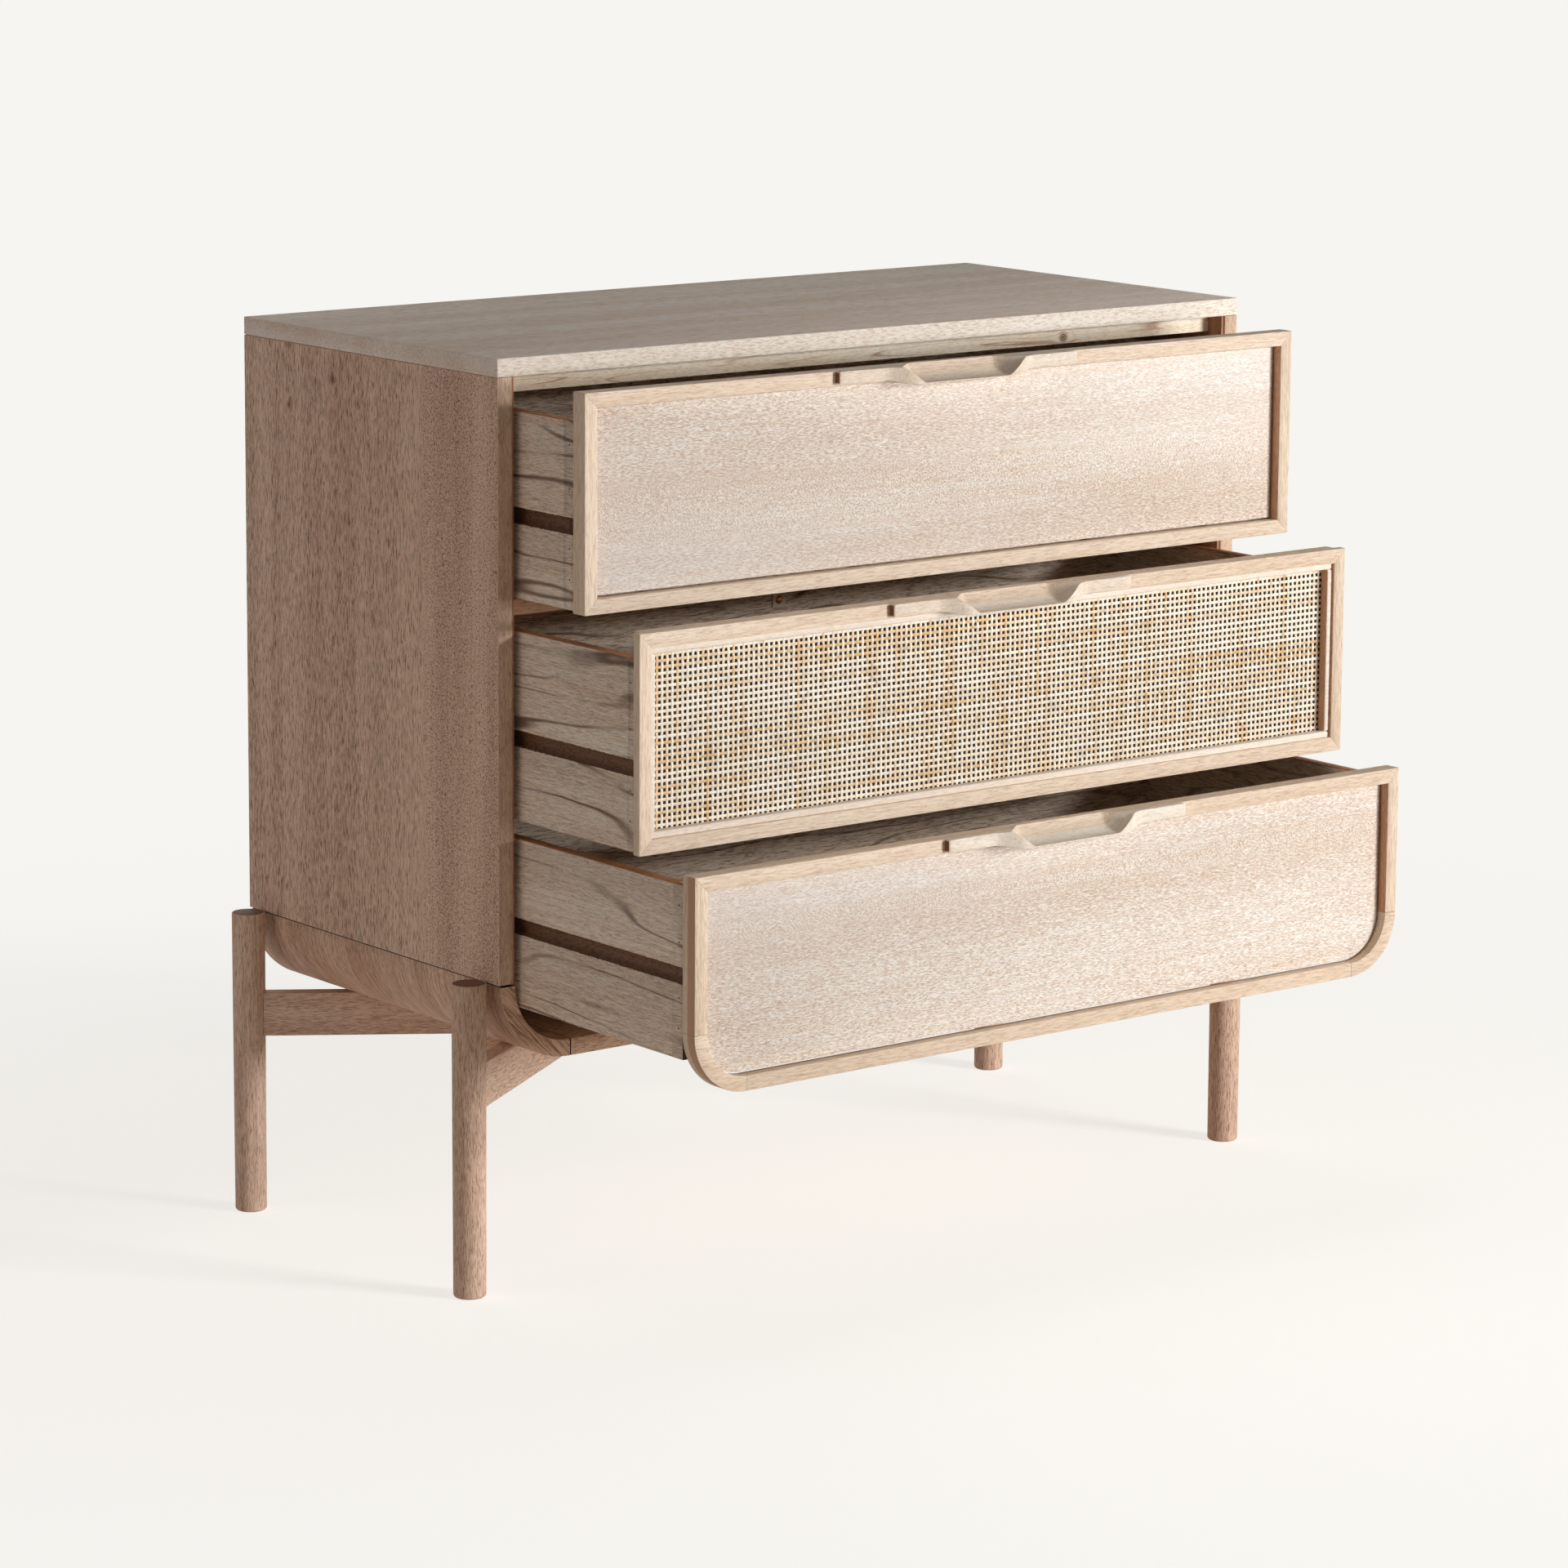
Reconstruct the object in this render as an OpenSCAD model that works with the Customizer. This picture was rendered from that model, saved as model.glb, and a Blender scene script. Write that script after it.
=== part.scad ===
// Chest of three drawers on a low splayed base.
// The carcass has a flat top, two sides and curved lower corners. Each drawer slides on two
// wooden runners that enter grooves in the box sides. The top and bottom fronts are framed
// panels, the middle front is framed cane webbing. X runs along the width, the fronts face -Y.
// Modules place their pieces from the front plane of the carcass, with z = 0 on the floor.

/* [Carcass] */
// Width across the side panels
body_w = 900; // [700:10:1100]
// Depth of the top, the sides and the bottom
body_d = 420; // [400:5:500]
// Height of the underside above the floor
floor_gap = 217; // [180:1:300]
// Thickness of the top
top_t = 17; // [12:0.5:25]
// Thickness of the side panels
side_t = 16; // [12:0.5:22]
// Thickness of the lining inside each side panel
lining_t = 3; // [2:0.5:6]
// Setback of the linings from the front plane
lining_inset = 2; // [0:0.5:6]
// Thickness of the bottom board and of the curved corners
bottom_t = 16; // [12:0.5:22]
// Outer radius of the curved lower corners
corner_r = 75; // [55:1:90]
// Step from the face of a side in to its curved corner
corner_step = 2.5; // [0:0.5:5]
// Straight tail of a curved corner beside the bottom board
corner_tail = 3; // [0:0.5:10]
// Thickness of the back panel
back_t = 5; // [3:0.5:10]
// Setback of the back panel from the rear edge
back_inset = 5; // [0:1:12]

/* [Rails] */
// Distance from the front plane back to the two cross rails
rail_inset = 21; // [20:0.5:30]
// Height of the rail under the top
front_rail_h = 17; // [12:0.5:20]
// Depth of the rail under the top
front_rail_d = 55; // [30:1:90]
// Height of the rail between the top and the middle drawer
cross_rail_h = 15; // [8:0.5:16]
// Depth of the rail between the top and the middle drawer
cross_rail_d = 50; // [30:1:70]
// Distance from the underside of the top front down to the underside of the cross rail
cross_rail_drop = 17; // [16.5:0.5:20]

/* [Fronts] */
// Height of each drawer front
front_h = 200; // [170:1:240]
// Gap above, below and between the fronts
reveal = 5; // [3:0.5:8]
// Gap between the end of a front and the lining
side_reveal = 3; // [2:0.5:6]
// Width of the frame members on the face
frame_w = 14; // [10:0.5:24]
// Distance from the face of a frame back to its wooden panel
panel_recess = 10; // [4:0.5:11]
// Thickness of the wooden panels
panel_t = 8; // [6:0.5:9]
// Thickness of the tongue around a wooden panel
tongue_t = 5; // [3:0.5:5]
// Width of the rabbet that holds the tongue
rabbet_w = 6; // [3:0.5:8]
// Width of the shadow gap around a wooden panel
shadow_gap = 1.5; // [0.5:0.25:3]

/* [Cane front] */
// Thickness of the frame around the cane
cane_frame_t = 9; // [7:0.5:10]
// Thickness of the board behind that frame
cane_board_t = 10; // [9:0.5:10]
// Depth of the recess routed into that board
cane_recess = 4.5; // [2:0.25:6]
// Thickness of the cane webbing
cane_t = 1.4; // [0.8:0.1:2]
// Width of the beads that hold the webbing
bead_w = 6; // [4:0.5:10]
// Setback of the beads from the face of the frame
bead_inset = 3; // [1:0.5:5]
// Gap at each end of an upright bead
bead_gap = 0.2; // [0.1:0.1:0.5]
// Columns of gaps in the webbing
cane_columns = 37; // [10:1:37]
// Rows of gaps in the webbing
cane_rows = 8; // [4:1:8]
// Side of a gap in the webbing
cane_gap = 11; // [6:0.5:12]

/* [Handles] */
// Length of each handle
handle_l = 288; // [200:2:360]
// Height of a handle at its ends
handle_h = 12; // [9:0.5:14]
// Projection of a handle at its ends
handle_out = 6.4; // [5:0.2:10]
// Extra height of a handle in its middle
swell_h = 4.5; // [2:0.5:8]
// Extra projection of a handle in its middle
swell_out = 11.6; // [6:0.2:16]
// Distance from the centre to the start of the swelling
swell_start = 92; // [80:1:98]
// Distance from the centre to the full swelling
swell_full = 58; // [50:1:70]
// Radius of the finger scoop
scoop_r = 26; // [20:0.5:27]
// Height of the axis of the scoop above the front
scoop_axis_up = 10.8; // [8:0.2:14]
// Distance of the axis of the scoop before the front
scoop_axis_out = 14.6; // [12:0.2:18]
// Half length of the full scoop
scoop_half = 50; // [30:1:50]
// Length over which the scoop runs out
scoop_runout = 34; // [20:1:40]

/* [Drawer boxes] */
// Opening of the top drawer
top_open = 103; // [0:1:250]
// Opening of the middle drawer
middle_open = 185; // [0:1:250]
// Opening of the bottom drawer
bottom_open = 267; // [0:1:270]
// Thickness of the sides and backs of the boxes
box_t = 12; // [10:0.5:15]
// Gap between the lining and the side of a box
box_gap = 5; // [4:0.5:8]
// Distance from the back panel to the back of a closed box
box_back_gap = 49; // [20:1:80]
// Thickness of the board behind a panelled front
box_front_t = 16; // [12:0.5:20]
// Depth of the lap of a side over the ends of its front and back
lap_d = 6; // [4:0.5:8]
// Distance from the top of the top front down to its box
top_box_drop = 27; // [20:1:40]
// Distance from the top of the middle front down to its box
middle_box_drop = 23; // [20:1:40]
// Distance from the top of the bottom front down to its box
bottom_box_drop = 10; // [5:1:30]
// Distance from the bottom of the upper fronts up to their boxes
box_lift = 2; // [1:0.5:6]
// Thickness of the bottom panel of a box
box_bottom_t = 5; // [3:0.5:8]
// Distance from the lower edge of a box up to its bottom panel
box_bottom_up = 10; // [6:1:15]
// Depth of the groove for the bottom panel
box_bottom_groove = 5; // [3:0.5:6]
// Radius of the pins in the box corners
pin_r = 0.9; // [0.6:0.1:1.5]
// Length of the pins in the box corners
pin_l = 25; // [15:1:40]

/* [Runners] */
// Distance from the lower edge of a box up to its groove
groove_up = 69; // [55:1:72]
// Height of the groove in the side of a box
groove_h = 14; // [10:0.5:20]
// Depth of the groove in the side of a box
groove_d = 6; // [4:0.5:8]
// Clearance between the end of a runner and the groove floor
runner_end_gap = 0.5; // [0.3:0.1:1]
// Clearance between the top of a runner and the groove
runner_top_gap = 0.3; // [0.2:0.1:0.5]
// Clearance between the underside of a runner and the groove
runner_low_gap = 0.7; // [0.5:0.1:1.5]

/* [Drawer stop] */
// Width of the stop plate on the middle drawer
stop_w = 16; // [10:1:40]
// Thickness of the stop plate
stop_t = 1.5; // [1:0.25:3]
// Distance from the top of the box down to the lower end of the plate
stop_low = 40; // [25:1:60]
// Distance the plate reaches up behind the cross rail
stop_catch = 9; // [5:0.5:14]
// Radius of the screw head
screw_head_r = 4.4; // [3:0.1:6]
// Height of the screw head
screw_head_h = 2.2; // [1:0.1:3]
// Radius of the screw shank
screw_r = 2; // [1.5:0.1:2.5]
// Length of the screw shank
screw_l = 10; // [6:0.5:11]
// Distance from the lower end of the plate up to the screw
screw_up = 7; // [7:0.5:15]

/* [Base] */
// Radius of a leg at its top
leg_top_r = 16; // [12:0.5:22]
// Radius of a leg at its foot
leg_foot_r = 15.3; // [10:0.1:20]
// Height of the legs
leg_h = 296; // [280:1:330]
// Rounding of the foot of a leg
foot_round = 3; // [1:0.5:5]
// Distance of the leg axes outside the side panels
leg_out = 20; // [18:0.5:30]
// Distance of the front leg axes behind the front plane
leg_front = 19; // [17:1:60]
// Distance of the rear leg axes before the rear edge
leg_rear = 29; // [17:1:60]
// Angle between an arm and the width of the chest
arm_angle = 34; // [28:1:42]
// Thickness of the arms and of the centre rail
arm_t = 17; // [12:0.5:24]
// Height of the arms and of the centre rail
arm_h = 42; // [30:1:60]
// Length of the centre rail
centre_rail_l = 700; // [560:10:800]
// Clearance between an arm and its leg
arm_fit = 0.1; // [0.05:0.05:0.3]

/* [Hidden] */
$fn = 64;

// Colours
oak_pale = [0.87, 0.76, 0.66];
oak_side = [0.66, 0.52, 0.44];
oak_base = [0.68, 0.50, 0.39];
box_wood = [0.56, 0.46, 0.40];
dark_wood = [0.42, 0.25, 0.17];
cane_cream = [0.88, 0.82, 0.68];
steel_grey = [0.50, 0.50, 0.50];
brass_gold = [0.72, 0.55, 0.28];

// Count of fronts, and the directions left and right
front_count = 3;
left = -1;
right = 1;

// Allowances of the joinery
cut_over = 1;
fit_gap = 0.3;
corner_relief = 1;
box_corner_gap = 1.3;

// Half widths measured from the centre line
half_w = body_w / 2;
lining_x = half_w - side_t - lining_t;
front_x = lining_x - side_reveal;
box_x = lining_x - box_gap;
board_x = box_x - lap_d;
inner_x = box_x - box_t;

// Heights of the carcass
corner_in_r = corner_r - bottom_t;
corner_cx = half_w - corner_step - corner_r;
corner_cz = floor_gap + corner_r;
floor_z = floor_gap + bottom_t;
top_z = floor_z + front_count * front_h + (front_count + 1) * reveal;
bottom_z = floor_z + reveal;
middle_z = bottom_z + front_h + reveal;
upper_z = middle_z + front_h + reveal;

// Depths measured back from the front plane
back_y = body_d - back_inset - back_t;
box_end = back_y - box_back_gap;
framed_t = panel_recess + panel_t;
cane_front_t = cane_frame_t + cane_board_t;
open_w = 2 * (front_x - frame_w);
open_h = front_h - 2 * frame_w;
front_corner_r = corner_in_r - corner_relief;

// Lower edges of the boxes above the floor and their heights
top_box_z = upper_z + box_lift;
middle_box_z = middle_z + box_lift;
box_reach = corner_in_r - box_corner_gap;
bottom_box_z = corner_cz - sqrt(pow(box_reach, 2) - pow(box_x - corner_cx, 2));
top_box_h = upper_z + front_h - top_box_drop - top_box_z;
middle_box_h = middle_z + front_h - middle_box_drop - middle_box_z;
bottom_box_h = bottom_z + front_h - bottom_box_drop - bottom_box_z;

// Shares of the strips below and above a groove at which the pins sit
low_pins = [0.4, 0.8];
high_pins = [0.3, 0.75];

// Origin under the centre of the box around the chest with its drawers as drawn
handle_reach = handle_out + swell_out;
front_reach = max(top_open, middle_open, bottom_open) + handle_reach;
origin_y = (body_d - front_reach) / 2;

module in_place() {
    translate([0, -origin_y, 0]) children();
}

module drawn_out(distance) {
    in_place() translate([0, -distance, 0]) children();
}

// A drawing in width and height, given a thickness back from depth y
module slab(y, thickness) {
    translate([0, y + thickness, 0]) rotate([90, 0, 0]) linear_extrude(thickness) children();
}

// A board that reaches equally far to both sides of the centre line
module wide_board(x, y, z, depth, height) {
    translate([-x, y, z]) cube([2 * x, depth, height]);
}

// Carcass

module top_panel() {
    color(oak_side) in_place() wide_board(half_w, 0, top_z, body_d, top_t);
}

module side_panel(side) {
    color(oak_side) in_place()
        translate([side == left ? -half_w : half_w - side_t, 0, corner_cz])
            cube([side_t, body_d, top_z - corner_cz]);
}

module side_linings() {
    color(dark_wood) in_place()
        for (side = [left, right])
            translate([side == left ? -lining_x - lining_t : lining_x, lining_inset, corner_cz])
                cube([lining_t, body_d - lining_inset, top_z - corner_cz]);
}

module curved_corner(side) {
    color(oak_side) in_place() slab(0, body_d)
        mirror([side == left ? 1 : 0, 0]) translate([corner_cx, corner_cz]) {
            intersection() {
                difference() {
                    circle(corner_r);
                    circle(corner_in_r);
                }
                translate([0, -corner_r]) square(corner_r);
            }
            translate([-corner_tail, -corner_r]) square([corner_tail, bottom_t]);
        }
}

module bottom_panel() {
    color(oak_side) in_place()
        wide_board(corner_cx - corner_tail, 0, floor_gap, body_d, bottom_t);
}

// The back panel follows the inner line of the sides and of the curved corners
module back_panel() {
    color(dark_wood) in_place() slab(back_y, back_t) intersection() {
        translate([-lining_x, floor_z]) square([2 * lining_x, top_z - floor_z]);
        union() {
            translate([-lining_x, corner_cz]) square([2 * lining_x, top_z - corner_cz]);
            translate([-corner_cx, floor_z]) square([2 * corner_cx, top_z - floor_z]);
            for (side = [left, right])
                translate([side * corner_cx, corner_cz]) circle(corner_in_r);
        }
    }
}

module front_rail() {
    color(oak_pale) in_place()
        wide_board(lining_x, rail_inset, top_z - front_rail_h, front_rail_d, front_rail_h);
}

module cross_rail() {
    color(oak_pale) in_place()
        wide_board(lining_x, rail_inset, upper_z - cross_rail_drop, cross_rail_d, cross_rail_h);
}

// Two runners that enter the grooves of a box whose lower edge is at z
module runners(z) {
    end_x = box_x - groove_d + runner_end_gap;
    height = groove_h - runner_top_gap - runner_low_gap;
    color(box_wood) in_place()
        for (side = [left, right])
            translate([side == left ? -lining_x : end_x, rail_inset, z + groove_up + runner_low_gap])
                cube([lining_x - end_x, back_y - rail_inset, height]);
}

// Base

leg_x = half_w + leg_out;
leg_y_front = leg_front;
leg_y_rear = body_d - leg_rear;
centre_y = (leg_y_front + leg_y_rear) / 2;
arm_z = floor_gap - arm_h;

module leg_shape() {
    steps = 6;
    foot = [for (i = [0 : steps]) let (a = -90 + 90 * i / steps)
        [leg_foot_r - foot_round + foot_round * cos(a), foot_round + foot_round * sin(a)]];
    rotate_extrude() polygon(concat([[0, 0]], foot, [[leg_top_r, leg_h], [0, leg_h]]));
}

module leg(side, y) {
    color(oak_base) in_place() translate([side * leg_x, y, 0]) leg_shape();
}

// An arm runs from its leg to the face of the centre rail, hollowed to fit round the leg
module arm(side, y) {
    inward = y < centre_y ? 1 : -1;
    reach = (abs(centre_y - y) + arm_t) / sin(arm_angle);
    color(oak_base) in_place() difference() {
        translate([side * leg_x, y, arm_z])
            rotate([0, 0, side == left ? inward * arm_angle : 180 - inward * arm_angle])
                translate([0, -arm_t / 2, 0]) cube([reach, arm_t, arm_h]);
        translate([side * leg_x, y, 0]) cylinder(r = leg_top_r + arm_fit, h = leg_h);
        translate([-leg_x, inward > 0 ? centre_y - arm_t / 2 : centre_y + arm_t / 2 - body_d,
            arm_z - cut_over]) cube([2 * leg_x, body_d, arm_h + 2 * cut_over]);
    }
}

module centre_rail() {
    color(oak_base) in_place()
        wide_board(centre_rail_l / 2, centre_y - arm_t / 2, arm_z, arm_t, arm_h);
}

// Drawer fronts

// A front of half width x and height h whose lower corners have radius r
module front_outline(x, h, r) {
    if (r > 0) {
        translate([-x, r]) square([2 * x, h - r]);
        translate([r - x, 0]) square([2 * (x - r), h]);
        for (side = [left, right]) translate([side * (x - r), r]) circle(r);
    }
    else translate([-x, 0]) square([2 * x, h]);
}

// The same outline drawn in by a margin on every side
module inner_outline(margin, r) {
    translate([0, margin])
        front_outline(front_x - margin, front_h - 2 * margin, r > 0 ? r - margin : 0);
}

// The complete frame of a panelled front, with the rabbet that holds the tongue of the panel
module panel_frame(r) {
    difference() {
        slab(0, framed_t) difference() {
            front_outline(front_x, front_h, r);
            inner_outline(frame_w, r);
        }
        slab(framed_t - tongue_t, tongue_t + cut_over) inner_outline(frame_w - rabbet_w, r);
        scoop_cutter();
    }
}

// The complete frame around the cane
module cane_frame() {
    difference() {
        slab(0, cane_frame_t) difference() {
            front_outline(front_x, front_h, 0);
            inner_outline(frame_w, 0);
        }
        scoop_cutter();
    }
}

// The part of a frame above its upper mitres
module upper_zone() {
    slab(-cut_over, framed_t + 2 * cut_over) polygon([
        [-front_x, front_h], [front_x, front_h],
        [front_x - front_h / 2, front_h / 2], [front_h / 2 - front_x, front_h / 2]
    ]);
}

// The part of a square frame below its lower mitres
module lower_zone() {
    slab(-cut_over, framed_t + 2 * cut_over) polygon([
        [-front_x, 0], [front_x, 0],
        [front_x - front_h / 2, front_h / 2], [front_h / 2 - front_x, front_h / 2]
    ]);
}

// The part of a round-cornered frame between its curved pieces
module between_corners() {
    slab(-cut_over, framed_t + 2 * cut_over)
        translate([front_corner_r - front_x, 0])
            square([2 * (front_x - front_corner_r), front_h / 2]);
}

// The parts of a round-cornered frame that hold the curves
module corner_zones() {
    slab(-cut_over, framed_t + 2 * cut_over)
        for (side = [left, right])
            translate([side == left ? -front_x : front_x - front_corner_r, 0])
                square(front_corner_r);
}

// The two ends of a frame outside the mitres, down to height low
module stile_zones(low) {
    slab(-cut_over, framed_t + 2 * cut_over) intersection() {
        for (side = [left, right])
            polygon([
                [side * front_x, 0], [side * front_x, front_h],
                [side * (front_x - front_h / 2), front_h / 2]
            ]);
        translate([-front_x, low]) square([2 * front_x, front_h - low]);
    }
}

// The two ends of a round-cornered frame above the curved pieces
module long_stile_zones() {
    slab(-cut_over, framed_t + 2 * cut_over) intersection() {
        for (side = [left, right])
            polygon([
                [side * front_x, front_corner_r], [side * front_x, front_h],
                [side * (front_x - front_h / 2), front_h / 2],
                [side * (front_x - front_h / 2), front_corner_r]
            ]);
        translate([-front_x, front_corner_r]) square([2 * front_x, front_h - front_corner_r]);
    }
}

// A wooden panel with its tongue in the rabbet of the frame
module front_panel(r) {
    slab(framed_t - tongue_t, tongue_t) inner_outline(frame_w - rabbet_w + fit_gap, r);
    slab(panel_recess, panel_t) inner_outline(frame_w + shadow_gap, r);
}

// Board behind the cane, recessed where the webbing lies
module cane_board() {
    difference() {
        wide_board(board_x, cane_frame_t, 0, cane_board_t, front_h);
        slab(cane_frame_t - cut_over, cane_recess + cut_over) inner_outline(frame_w, 0);
        scoop_cutter();
    }
}

cane_back = cane_frame_t + cane_recess;
cane_front = cane_back - cane_t;
pitch_x = (open_w - 2 * bead_w) / cane_columns;
pitch_z = (open_h - 2 * bead_w) / cane_rows;

// Webbing with its border under the beads and a grid of square gaps between them
module webbing() {
    slab(cane_front, cane_t) difference() {
        inner_outline(frame_w + fit_gap, 0);
        for (i = [0 : cane_columns - 1], j = [0 : cane_rows - 1])
            translate([(i + 0.5) * pitch_x - open_w / 2 + bead_w,
                (j + 0.5) * pitch_z + frame_w + bead_w])
                square(cane_gap, center = true);
    }
}

// Four beads around the webbing, the upright ones fitted between the long ones
module beads() {
    depth = cane_front - bead_inset;
    low = frame_w + bead_w + bead_gap;
    for (z = [frame_w, front_h - frame_w - bead_w])
        wide_board(open_w / 2, bead_inset, z, depth, bead_w);
    for (side = [left, right])
        translate([side == left ? -open_w / 2 : open_w / 2 - bead_w, bead_inset, low])
            cube([bead_w, depth, front_h - 2 * low]);
}

// Handles

// Share of the swelling at distance x from the centre, eased from none to full
function swell(x) =
    let (t = min(1, max(0, (swell_start - abs(x)) / (swell_start - swell_full))))
    t * t * (3 - 2 * t);

// Radius of the scoop at distance x from its middle
function scoop_radius(x) =
    let (t = min(1, max(0, (abs(x) - scoop_half) / scoop_runout)))
    scoop_axis_up + (scoop_r - scoop_axis_up) * pow(1 - t, 2.4);

swell_steps = 10;
swell_xs = [for (i = [0 : swell_steps])
    swell_start - (swell_start - swell_full) * i / swell_steps];
handle_xs = concat([-handle_l / 2], [for (x = swell_xs) -x],
    [for (i = [swell_steps : -1 : 0]) swell_xs[i]], [handle_l / 2]);

// Turned shape that scoops the finger hold out of a handle and the top of its front
module scoop_cutter() {
    steps = 9;
    runout_xs = [for (i = [0 : steps]) scoop_half + scoop_runout * i / steps];
    profile = concat([[0, -scoop_half - scoop_runout]],
        [for (i = [steps : -1 : 0]) [scoop_radius(runout_xs[i]), -runout_xs[i]]],
        [for (x = runout_xs) [scoop_radius(x), x]], [[0, scoop_half + scoop_runout]]);
    translate([0, -scoop_axis_out, front_h + scoop_axis_up])
        rotate([0, 90, 0]) rotate_extrude() polygon(profile);
}

// A bar on the face of the upper rail that swells outwards and downwards in its middle
module handle() {
    full_h = handle_h + swell_h;
    difference() {
        intersection() {
            translate([0, 0, front_h - full_h]) linear_extrude(full_h)
                polygon(concat([[handle_l / 2, 0], [-handle_l / 2, 0]],
                    [for (x = handle_xs) [x, -handle_out - swell_out * swell(x)]]));
            slab(-handle_reach, handle_reach)
                polygon(concat([[handle_l / 2, front_h], [-handle_l / 2, front_h]],
                    [for (x = handle_xs) [x, front_h - handle_h - swell_h * swell(x)]]));
        }
        scoop_cutter();
    }
}

// Drawer boxes, drawn closed with the lower edge of the box at z = 0

// A side from depth y, lapped over a front of thickness front_t and over the back
module box_side(side, y, h, front_t) {
    x = side == left ? -box_x : inner_x;
    lap_x = side == left ? -board_x : inner_x - cut_over;
    groove_x = side == left ? -box_x - cut_over : box_x - groove_d;
    bottom_x = side == left ? -inner_x - box_bottom_groove : inner_x - cut_over;
    length = box_end - y;
    difference() {
        translate([x, y, 0]) cube([box_t, length, h]);
        translate([lap_x, y - cut_over, -cut_over])
            cube([box_t - lap_d + cut_over, front_t + cut_over, h + 2 * cut_over]);
        translate([lap_x, box_end - box_t, -cut_over])
            cube([box_t - lap_d + cut_over, box_t + cut_over, h + 2 * cut_over]);
        translate([groove_x, y - cut_over, groove_up])
            cube([groove_d + cut_over, length + 2 * cut_over, groove_h]);
        translate([bottom_x, y - cut_over, box_bottom_up])
            cube([box_bottom_groove + cut_over, length + 2 * cut_over, box_bottom_t]);
    }
}

module box_front(h) {
    wide_board(board_x, framed_t, 0, box_front_t, h);
}

module box_back(h) {
    low = box_bottom_up + box_bottom_t;
    wide_board(board_x, box_end - box_t, low, box_t, h - low);
}

module box_bottom(y) {
    wide_board(inner_x + box_bottom_groove, y, box_bottom_up, box_end - y, box_bottom_t);
}

// Pins driven through the laps, below and above the groove
module box_pins(front_y, h) {
    upper = groove_up + groove_h;
    heights = concat([for (k = low_pins) k * groove_up],
        [for (k = high_pins) upper + k * (h - upper)]);
    for (side = [left, right], y = [front_y, box_end - box_t / 2], z = heights)
        translate([side * box_x, y, z]) rotate([0, -side * 90, 0]) cylinder(r = pin_r, h = pin_l);
}

// Stop of the middle drawer, with heights from the lower edge of its box

stop_y = box_end - box_t - stop_t;
stop_z = middle_box_h - stop_low;
stop_top = upper_z - cross_rail_drop + stop_catch - middle_box_z;

module stop_plate_shape() {
    difference() {
        translate([-stop_w / 2, stop_y, stop_z]) cube([stop_w, stop_t, stop_top - stop_z]);
        translate([0, stop_y - cut_over, stop_z + screw_up]) rotate([-90, 0, 0])
            cylinder(r = screw_r + fit_gap, h = stop_t + 2 * cut_over);
    }
}

// A domed head on the plate and a shank into the back of the box
module stop_screw_shape() {
    dome_r = (pow(screw_head_r, 2) + pow(screw_head_h, 2)) / (2 * screw_head_h);
    translate([0, stop_y, stop_z + screw_up]) rotate([90, 0, 0]) {
        rotate_extrude() intersection() {
            translate([0, screw_head_h - dome_r]) circle(dome_r);
            square([screw_head_r, screw_head_h]);
        }
        translate([0, 0, -screw_l]) cylinder(r = screw_r, h = screw_l);
    }
}

// Top drawer

module top_front() {
    color(oak_pale) drawn_out(top_open) translate([0, 0, upper_z]) children();
}

module top_box() {
    color(box_wood) drawn_out(top_open) translate([0, 0, top_box_z]) children();
}

module top_front_upper_rail() {
    top_front() intersection() {
        panel_frame(0);
        upper_zone();
    }
}

module top_front_lower_rail() {
    top_front() intersection() {
        panel_frame(0);
        lower_zone();
    }
}

module top_front_stiles() {
    top_front() intersection() {
        panel_frame(0);
        stile_zones(0);
    }
}

// Middle drawer

module middle_front() {
    drawn_out(middle_open) translate([0, 0, middle_z]) children();
}

module middle_box() {
    drawn_out(middle_open) translate([0, 0, middle_box_z]) children();
}

module middle_front_upper_rail() {
    color(oak_pale) middle_front() intersection() {
        cane_frame();
        upper_zone();
    }
}

module middle_front_lower_rail() {
    color(oak_pale) middle_front() intersection() {
        cane_frame();
        lower_zone();
    }
}

module middle_front_stiles() {
    color(oak_pale) middle_front() intersection() {
        cane_frame();
        stile_zones(0);
    }
}

// Bottom drawer

module bottom_front() {
    color(oak_pale) drawn_out(bottom_open) translate([0, 0, bottom_z]) children();
}

module bottom_box() {
    color(box_wood) drawn_out(bottom_open) translate([0, 0, bottom_box_z]) children();
}

module bottom_front_upper_rail() {
    bottom_front() intersection() {
        panel_frame(front_corner_r);
        upper_zone();
    }
}

module bottom_front_lower_rail() {
    bottom_front() intersection() {
        panel_frame(front_corner_r);
        between_corners();
    }
}

module bottom_front_stiles() {
    bottom_front() intersection() {
        panel_frame(front_corner_r);
        long_stile_zones();
    }
}

module bottom_front_corners() {
    bottom_front() intersection() {
        panel_frame(front_corner_r);
        corner_zones();
    }
}

top_panel();
side_panel(left);  // side_panel_left
side_panel(right);  // side_panel_right
side_linings();
curved_corner(left);  // curved_corner_left
curved_corner(right);  // curved_corner_right
bottom_panel();
back_panel();
front_rail();
cross_rail();
runners(top_box_z);  // top_runners
runners(middle_box_z);  // middle_runners
runners(bottom_box_z);  // bottom_runners

leg(left, leg_y_front);  // leg_front_left
leg(right, leg_y_front);  // leg_front_right
leg(left, leg_y_rear);  // leg_rear_left
leg(right, leg_y_rear);  // leg_rear_right
arm(left, leg_y_front);  // arm_front_left
arm(right, leg_y_front);  // arm_front_right
arm(left, leg_y_rear);  // arm_rear_left
arm(right, leg_y_rear);  // arm_rear_right
centre_rail();

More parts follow.
